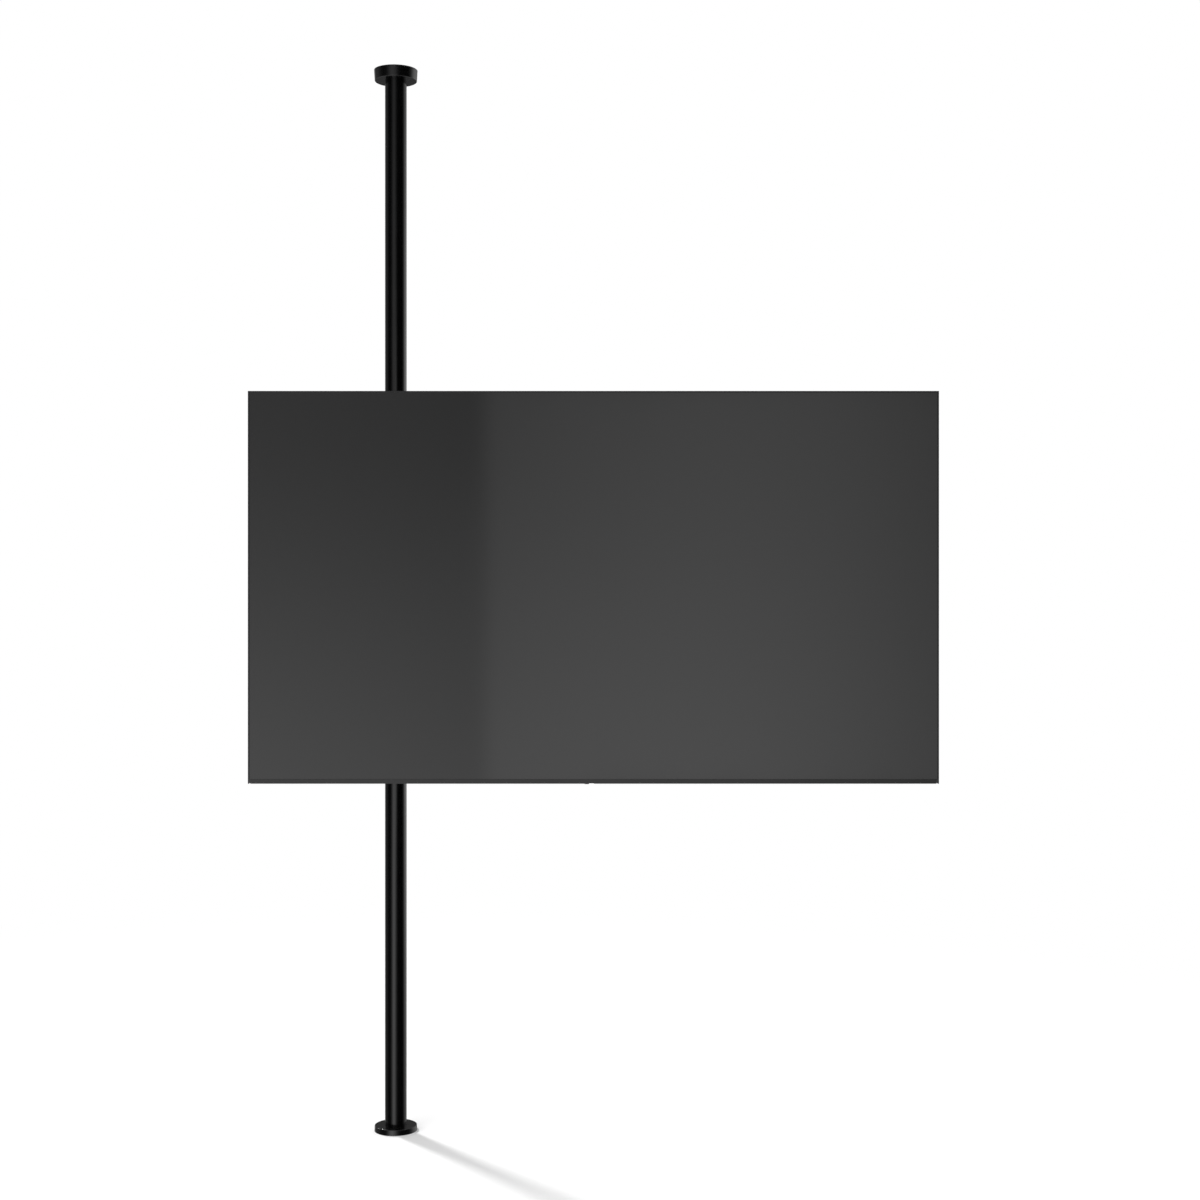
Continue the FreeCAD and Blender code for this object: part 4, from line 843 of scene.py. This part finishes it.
def build_collar_screws():
    """The clamp screws of the two collars."""
    low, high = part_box("collar_screws")
    size = round((high.y - low.y) / 2 / CAP_R, 4)
    seat = high.x - size * CAP_TALL
    shape = bmesh.new()
    for z in (low.z + size * CAP_R, high.z - size * CAP_R):
        stand = standing(Vector((seat, (low.y + high.y) / 2, z)), RIGHT, UP)
        add_cap(shape, size, stand)
        add_shank(shape, size, seat - low.x, stand)
    stand_in("collar_screws", "collar_cap_screws", shape, SHARP_KNURL_ANGLE)


class POLEMOUNT_OT_cap_screws(bpy.types.Operator):
    """Turn the socket screws into knurled ones with threaded ends"""

    bl_idname = "polemount.cap_screws"
    bl_label = "Socket Screws"

    def execute(self, context):
        low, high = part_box("vesa_bolts")
        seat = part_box("vesa_washers")[1].y
        size = (high.y - seat) / CAP_TALL
        build_four_screws("vesa_bolts", "post_cap_screws", size, seat, seat - low.y, BACK)
        low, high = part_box("cross_rail_bolts")
        nut_low, nut_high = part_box("cross_rail_nuts")
        size = (nut_high.y - nut_low.y) / HEX_TALL
        seat = low.y + size * CAP_TALL
        build_four_screws("cross_rail_bolts", "rail_cap_screws", size, seat, high.y - seat, -BACK)
        build_collar_screws()
        return {"FINISHED"}


def weld_arm(sizes, coat):
    """Beads around both ends of the beam."""
    low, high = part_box("swing_arm")
    hub_r, reach, middle = -low.x, high.x - sizes.barrel_r, (low.z + high.z) / 2
    outline = rounded_outline(
        sizes.beam_thick / 2, sizes.beam_tall / 2, sizes.beam_corner, sizes.ripple)
    for name, centre, radius in (("hub_weld", 0.0, hub_r), ("barrel_weld", reach, -sizes.barrel_r)):
        shape = bmesh.new()
        side = math.copysign(1.0, radius)
        points = [
            (centre + side * math.sqrt(radius ** 2 - p.x ** 2), p.x, middle + p.y) for p in outline]
        add_bead(shape, name, points, sizes.bead, True)
        new_piece(name, "arm", coat, shape)


def weld_yoke(sizes, coat):
    """Beads between the yoke's web and its two plates."""
    low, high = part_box("head_yoke")
    back = sizes.yoke_sheet - sizes.yoke_depth
    shape = bmesh.new()
    for z in (low.z + sizes.yoke_sheet, high.z - sizes.yoke_sheet):
        ends = [(x, back, z) for x in (low.x + 2 * sizes.bead, high.x - 2 * sizes.bead)]
        add_bead(shape, "yoke_weld", run(*ends, sizes.ripple), sizes.bead, False)
    new_piece("yoke_welds", "head", coat, shape)


def weld_ears(sizes, coat):
    """Beads along the ears of the yoke and of the tilt plate."""
    low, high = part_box("tilt_washers")
    middle, half = (low + high) / 2, (high - low) / 2
    thin = half.x - sizes.yoke_sheet - TILT_WASHER
    plate_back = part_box("cross_rail_nuts")[0].y
    groups = (
        ("yoke_ear_welds", "head", -sizes.yoke_depth, (thin,)),
        ("plate_ear_welds", "screen", plate_back, (half.x, half.x + sizes.yoke_sheet)),
    )
    for name, body, y, offsets in groups:
        shape = bmesh.new()
        for offset in offsets:
            for side in (-1, 1):
                x = middle.x + side * offset
                ends = [(x, y, middle.z + k * (half.z - sizes.bead)) for k in (-1, 1)]
                add_bead(shape, name, run(*ends, sizes.ripple), sizes.bead * EAR_BEAD, False)
        new_piece(name, body, coat, shape)


class POLEMOUNT_OT_welds(bpy.types.Operator):
    """Weld the arm's beam to its hub and barrel, the yoke's plates to its web and the ears to their plates"""

    bl_idname = "polemount.welds"
    bl_label = "Weld Beads"

    def execute(self, context):
        sizes = context.scene.pole_mount.sizes
        coat = frame["nodes"]["swing_arm"].data.materials[0]
        weld_arm(sizes, coat)
        weld_yoke(sizes, coat)
        weld_ears(sizes, coat)
        return {"FINISHED"}


class POLEMOUNT_OT_screen_front(bpy.types.Operator):
    """Finish the display, its frame, trim, sensor window and button"""

    bl_idname = "polemount.screen_front"
    bl_label = "Screen Front"

    def execute(self, context):
        colours = context.scene.pole_mount.colours
        coat_nodes("screen_glass", panel_finish("display_film", colours.display, roughness=0.055))
        coat_nodes("frame_metal", metal_finish(
            "dyed_frame", colours.frame, roughness=0.24, metallic=0.35, stretch=(1, 1, 1)))
        coat_nodes("trim_plastic", plastic_finish(
            "trim_moulding", colours.trim, roughness=0.24, grain=0.6 * MM, depth=0.006 * MM))
        coat_nodes("button_plastic", plastic_finish(
            "button_moulding", shade(colours.trim, 0.8), roughness=0.4, grain=0.4 * MM, depth=0.01 * MM))
        coat_nodes("sensor_lens", panel_finish("tinted_lens", LENS, roughness=0.08))
        return {"FINISHED"}


def add_rib(shape, ends, back, z, sizes):
    """Adds a long rib with round ends that stands out of the sheet."""
    near, far = ends
    wide, tall = sizes.rib_wide, sizes.rib_tall
    edges = add_block(shape, ((near + far) / 2, back, z), (far - near, 2 * tall, wide))
    soften(
        shape, [e for e in edges if abs(e.verts[0].co.y - e.verts[1].co.y) > tall], wide * RIB_ROUND, 6)

    def on_rim(vert):
        x, y, height = vert.co
        inside = near - 100 * TINY <= x <= far + 100 * TINY and abs(height - z) < wide
        return inside and abs(y - back - tall) < TINY

    soften(shape, [e for e in shape.edges if all(map(on_rim, e.verts))], tall * RIB_SOFT, 3)


class POLEMOUNT_OT_screen_back(bpy.types.Operator):
    """Finish the chassis and the rear cover, and press ribs into the chassis"""

    bl_idname = "polemount.screen_back"
    bl_label = "Screen Back"

    def execute(self, context):
        settings = context.scene.pole_mount
        colours, sizes = settings.colours, settings.sizes
        chassis = coat_finish(
            "sheet_coat", shade(colours.bracket, 1.3), roughness=0.45, grain=1.2 * MM, depth=0.03 * MM,
            spread=0.04)
        coat_nodes("chassis_steel", chassis)
        coat_nodes("cover_plastic", plastic_finish(
            "cover_moulding", colours.cover, roughness=0.55, grain=1.1 * MM, depth=0.08 * MM, edge=3 * MM))
        coat_nodes("speaker_box", plastic_finish(
            "speaker_moulding", colours.cover, roughness=0.5, grain=0.9 * MM, depth=0.04 * MM))
        low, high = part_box("backlight_chassis")
        cover_low, cover_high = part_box("electronics_cover")
        near, far = low.x + RIB_MARGIN, high.x - RIB_MARGIN
        beside = ((near, cover_low.x - RIB_MARGIN / 2), (cover_high.x + RIB_MARGIN / 2, far))
        step = (high.z - low.z - 2 * RIB_MARGIN) / (sizes.rib_count - 1)
        shape = bmesh.new()
        for i in range(sizes.rib_count):
            z = low.z + RIB_MARGIN + i * step
            above = z + sizes.rib_wide > cover_high.z
            for ends in ((near, far),) if above else beside:
                add_rib(shape, ends, cover_low.y, z, sizes)
        new_piece("pressed_ribs", "screen", chassis, shape)
        return {"FINISHED"}


def add_pan_screw(shape, long, stand):
    """Adds a pan-head screw with a shank below its seat."""
    one = bmesh.new()
    add_rod(one, 24, 0.0, PAN_TALL, PAN_R, PAN_R * PAN_TAPER)
    rim = [e for e in one.edges if all(abs(v.co.z - PAN_TALL) < TINY for v in e.verts)]
    soften(one, rim, PAN_TALL * PAN_ROUND, 3)
    arm, reach = PAN_R * CROSS_THIN, PAN_R * CROSS_LONG
    for axis in (RIGHT, BACK):
        for offset in (-reach, -arm, arm, reach):
            bmesh.ops.bisect_plane(one, geom=everything(one), plane_co=axis * offset, plane_no=axis)

    def in_cross(face):
        spot = face.calc_center_median()
        x, y = abs(spot.x), abs(spot.y)
        return spot.z > PAN_TALL * NEARLY and min(x, y) < arm and max(x, y) < reach

    floor = sink(one, [face for face in one.faces if in_cross(face)], PAN_TALL * CROSS_DEEP)
    bmesh.ops.scale(one, verts=floor, vec=(CROSS_FLOOR, CROSS_FLOOR, 1))
    add_rod(one, 16, -long, 0.0, PAN_R / 2)
    add_copy(shape, one, stand)


class POLEMOUNT_OT_cover_screws(bpy.types.Operator):
    """Turn the rear cover's screws into pan heads with a cross recess"""

    bl_idname = "polemount.cover_screws"
    bl_label = "Cover Screws"

    def execute(self, context):
        low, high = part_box("cover_screws")
        long = high.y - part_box("electronics_cover")[0].y - PAN_TALL
        wide = high.x - low.x - 2 * PAN_R
        xs = [low.x + PAN_R + share * wide for share in (0, 1 / 3, 2 / 3, 1)]
        zs = [low.z + PAN_R, high.z - PAN_R]
        spots = [(x, z) for x in xs for z in zs] + [(x, sum(zs) / 2) for x in (xs[0], xs[-1])]
        shape = bmesh.new()
        for i, (x, z) in enumerate(spots):
            stand = standing(Vector((x, high.y - PAN_TALL, z)), BACK, RIGHT)
            add_pan_screw(shape, long, stand @ Matrix.Rotation(math.radians(PAN_TURN * i), 4, "Z"))
        stand_in("cover_screws", "cross_recess_screws", shape)
        return {"FINISHED"}


class POLEMOUNT_OT_sockets(bpy.types.Operator):
    """Finish the sockets and the inlet, and put contact tongues into the sockets"""

    bl_idname = "polemount.sockets"
    bl_label = "Sockets"

    def execute(self, context):
        coat_nodes("socket_plastic", plastic_finish(
            "socket_moulding", SOCKET, roughness=0.35, grain=0.5 * MM, depth=0.015 * MM))
        tongue = contact_finish("gilt_contacts")
        shape = bmesh.new()
        for row in frame["record"]["physics"]["openings"]:
            if "socket" in row["name"]:
                low, high = [Vector(corner) for corner in row["box_m"]]
                middle = (low + high) / 2
                middle.y = low.y + TONGUE_DEEP / 2 - TONGUE_SUNK
                size = ((high.x - low.x) * TONGUE_WIDE, TONGUE_DEEP, TONGUE_THICK)
                soften(shape, add_block(shape, middle, size), TONGUE_ROUND, 2)
        new_piece("socket_tongues", "screen", tongue, shape)
        return {"FINISHED"}


class POLEMOUNT_OT_inside(bpy.types.Operator):
    """Finish the light box and the boards inside the screen"""

    bl_idname = "polemount.inside"
    bl_label = "Inside the Screen"

    def execute(self, context):
        colours = context.scene.pole_mount.colours
        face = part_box("electronics_cover")[0].y + BOARD_FACE
        coat_nodes("circuit_board", board_finish("board_mask", colours.board, face))
        coat_nodes("light_bar", strip_finish("light_strip"))
        coat_nodes("diffuser_plastic", plastic_finish(
            "opal_sheet", OPAL, roughness=0.6, grain=2 * MM, depth=0.02 * MM))
        return {"FINISHED"}


def add_camera(context, studio):
    """A level camera in front of the screen."""
    camera = place_object("camera", bpy.data.cameras.new("camera"))
    camera.data.lens = studio.lens
    camera.location = studio.camera
    camera.rotation_euler = (math.radians(90), 0, 0)
    context.scene.camera = camera


def add_floor(studio):
    """A white floor that keeps the shadow near the pole and melts into the background further out."""
    material, wire = open_finish("white_floor")
    x, y, _ = wire.place().split()
    near = wire.math("SQRT", x * x + y * y).smooth(*FLOOR_MELT, 1.0, 0.0)
    seen = wire.node("ShaderNodeLightPath", output="Is Camera Ray")
    plain = wire.node("ShaderNodeEmission", inputs={"Strength": seen})
    lift = wire.node("ShaderNodeEmission", inputs={"Strength": seen * studio.floor_lift})
    paint = wire.node("ShaderNodeBsdfDiffuse", inputs={"Color": (*studio.floor_paint, 1.0)})
    lit = wire.node("ShaderNodeAddShader", inputs={0: lift, 1: paint})
    above = wire.node("ShaderNodeMixShader", inputs={0: near, 1: plain, 2: lit})
    under = wire.node("ShaderNodeNewGeometry", output="Backfacing")
    clear = wire.node("ShaderNodeBsdfTransparent")
    both = wire.node("ShaderNodeMixShader", inputs={0: under, 1: above, 2: clear})
    both.end("ShaderNodeOutputMaterial")
    shape = bmesh.new()
    bmesh.ops.create_grid(shape, x_segments=2, y_segments=2, size=FLOOR_HALF)
    mesh = to_mesh("floor", shape)
    mesh.materials.append(material)
    floor = place_object("floor", mesh)
    floor.visible_glossy = False


def add_lights(studio):
    """A key light from behind on the left, and a broad fill light that mirrors don't show."""
    sun = place_object("key", bpy.data.lights.new("key", "SUN"))
    sun.data.energy = studio.sun_power
    sun.data.angle = studio.sun_spread
    fill = place_object("fill", bpy.data.lights.new("fill", "AREA"))
    fill.data.energy = studio.fill_power
    fill.data.size = studio.fill_size
    fill.location = studio.fill_at
    fill.visible_glossy = False
    fill.visible_camera = False
    low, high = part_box("display_panel")
    for light, away in ((sun, Vector(studio.sun_from)), (fill, fill.location - (low + high) / 2)):
        light.rotation_mode = "QUATERNION"
        light.rotation_quaternion = away.to_track_quat("Z", "Y")


def softboxes(wire, studio):
    """The strength of the softboxes, the card and the glow around them in each direction."""
    x, y, z = wire.node("ShaderNodeTexCoord", output="Generated").split()
    around = wire.math("ARCTAN2", x, 0 - y)
    slope = z / wire.math("SQRT", x * x + y * y + TINY)
    climb = slope.smooth(*FRONT_CLIMB, studio.box_low, studio.box_high) + slope.smooth(*FRONT_FADE)
    front = around.bell(*angles(FRONT_HEADING)) * climb
    right = around.bell(*angles(RIGHT_HEADING)) * slope.bell(*RIGHT_HEIGHT) * studio.side
    left = around.bell(*angles(LEFT_HEADING)) * slope.smooth(*LEFT_CLIMB)
    card_edges = around.smooth(*angles(CARD_SIDE)) * (slope.smooth(*CARD_FOOT) * slope.smooth(*CARD_HEAD))
    card = card_edges * around.bell(*angles(CARD_HEADING)) * slope.smooth(*CARD_CLIMB)
    behind = wire.math("ABSOLUTE", wire.math("ARCTAN2", x, y))
    rear = behind.bell(*angles(REAR_HEADING)) * slope.bell(*REAR_HEIGHT) * studio.rear
    glow = y.smooth(*BACK_GLOW) + z.smooth(*DOME) + z.smooth(*FLOOR_GLOW)
    return front + right + left + card + rear + glow


def set_world(context, studio):
    """White for the camera, even light for matt surfaces, and softboxes on dark for glossy ones."""
    world = bpy.data.worlds.new("studio")
    world.use_nodes = True
    world.node_tree.nodes.clear()
    world.cycles.sampling_method = "NONE"
    wire = Wire(world.node_tree)
    camera, clear, mirrored = [
        wire.node("ShaderNodeLightPath", output=f"Is {ray} Ray")
        for ray in ("Camera", "Transmission", "Glossy")]
    seen = camera + clear
    strength = seen + mirrored * softboxes(wire, studio) + (1 - seen - mirrored) * studio.ambient
    sky = wire.node("ShaderNodeBackground", inputs={"Color": WHITE, "Strength": strength})
    sky.end("ShaderNodeOutputWorld")
    context.scene.world = world


class POLEMOUNT_OT_stage(bpy.types.Operator):
    """Set up the floor, the lights and the camera"""

    bl_idname = "polemount.stage"
    bl_label = "Stage"

    def execute(self, context):
        studio = context.scene.pole_mount.studio
        context.scene.view_settings.view_transform = "Standard"
        add_camera(context, studio)
        add_floor(studio)
        add_lights(studio)
        set_world(context, studio)
        return {"FINISHED"}


class POLEMOUNT_PT_looks(bpy.types.Panel):
    """Lists the steps and their settings"""

    bl_label = "Pole Mount Looks"
    bl_idname = "POLEMOUNT_PT_looks"
    bl_space_type = "VIEW_3D"
    bl_region_type = "UI"
    bl_category = "Pole Mount"

    def draw(self, context):
        settings = context.scene.pole_mount
        for step in STEPS:
            self.layout.operator(step.bl_idname)
        for group in (settings.sizes, settings.colours, settings.studio):
            box = self.layout.box()
            for name in group.__annotations__:
                box.prop(group, name)


STEPS = (
    POLEMOUNT_OT_pole, POLEMOUNT_OT_bracket, POLEMOUNT_OT_fasteners, POLEMOUNT_OT_hexagons,
    POLEMOUNT_OT_cap_screws, POLEMOUNT_OT_welds, POLEMOUNT_OT_screen_front, POLEMOUNT_OT_screen_back,
    POLEMOUNT_OT_cover_screws, POLEMOUNT_OT_sockets, POLEMOUNT_OT_inside, POLEMOUNT_OT_stage,
)
CLASSES = (MountSizes, MountColours, StudioSetup, PoleMountSettings, *STEPS, POLEMOUNT_PT_looks)


def register():
    """Registers the classes and the settings."""
    for cls in CLASSES:
        bpy.utils.register_class(cls)
    bpy.types.Scene.pole_mount = PointerProperty(
        type=PoleMountSettings, name="Pole Mount", description="Settings of the pole mount's looks")


def unregister():
    """Takes the settings and the classes away again."""
    del bpy.types.Scene.pole_mount
    for cls in reversed(CLASSES):
        bpy.utils.unregister_class(cls)


def main():
    """Runs every step in order."""
    register()
    for step in STEPS:
        group, name = step.bl_idname.split(".")
        getattr(getattr(bpy.ops, group), name)()


if __name__ == "__main__":
    main()
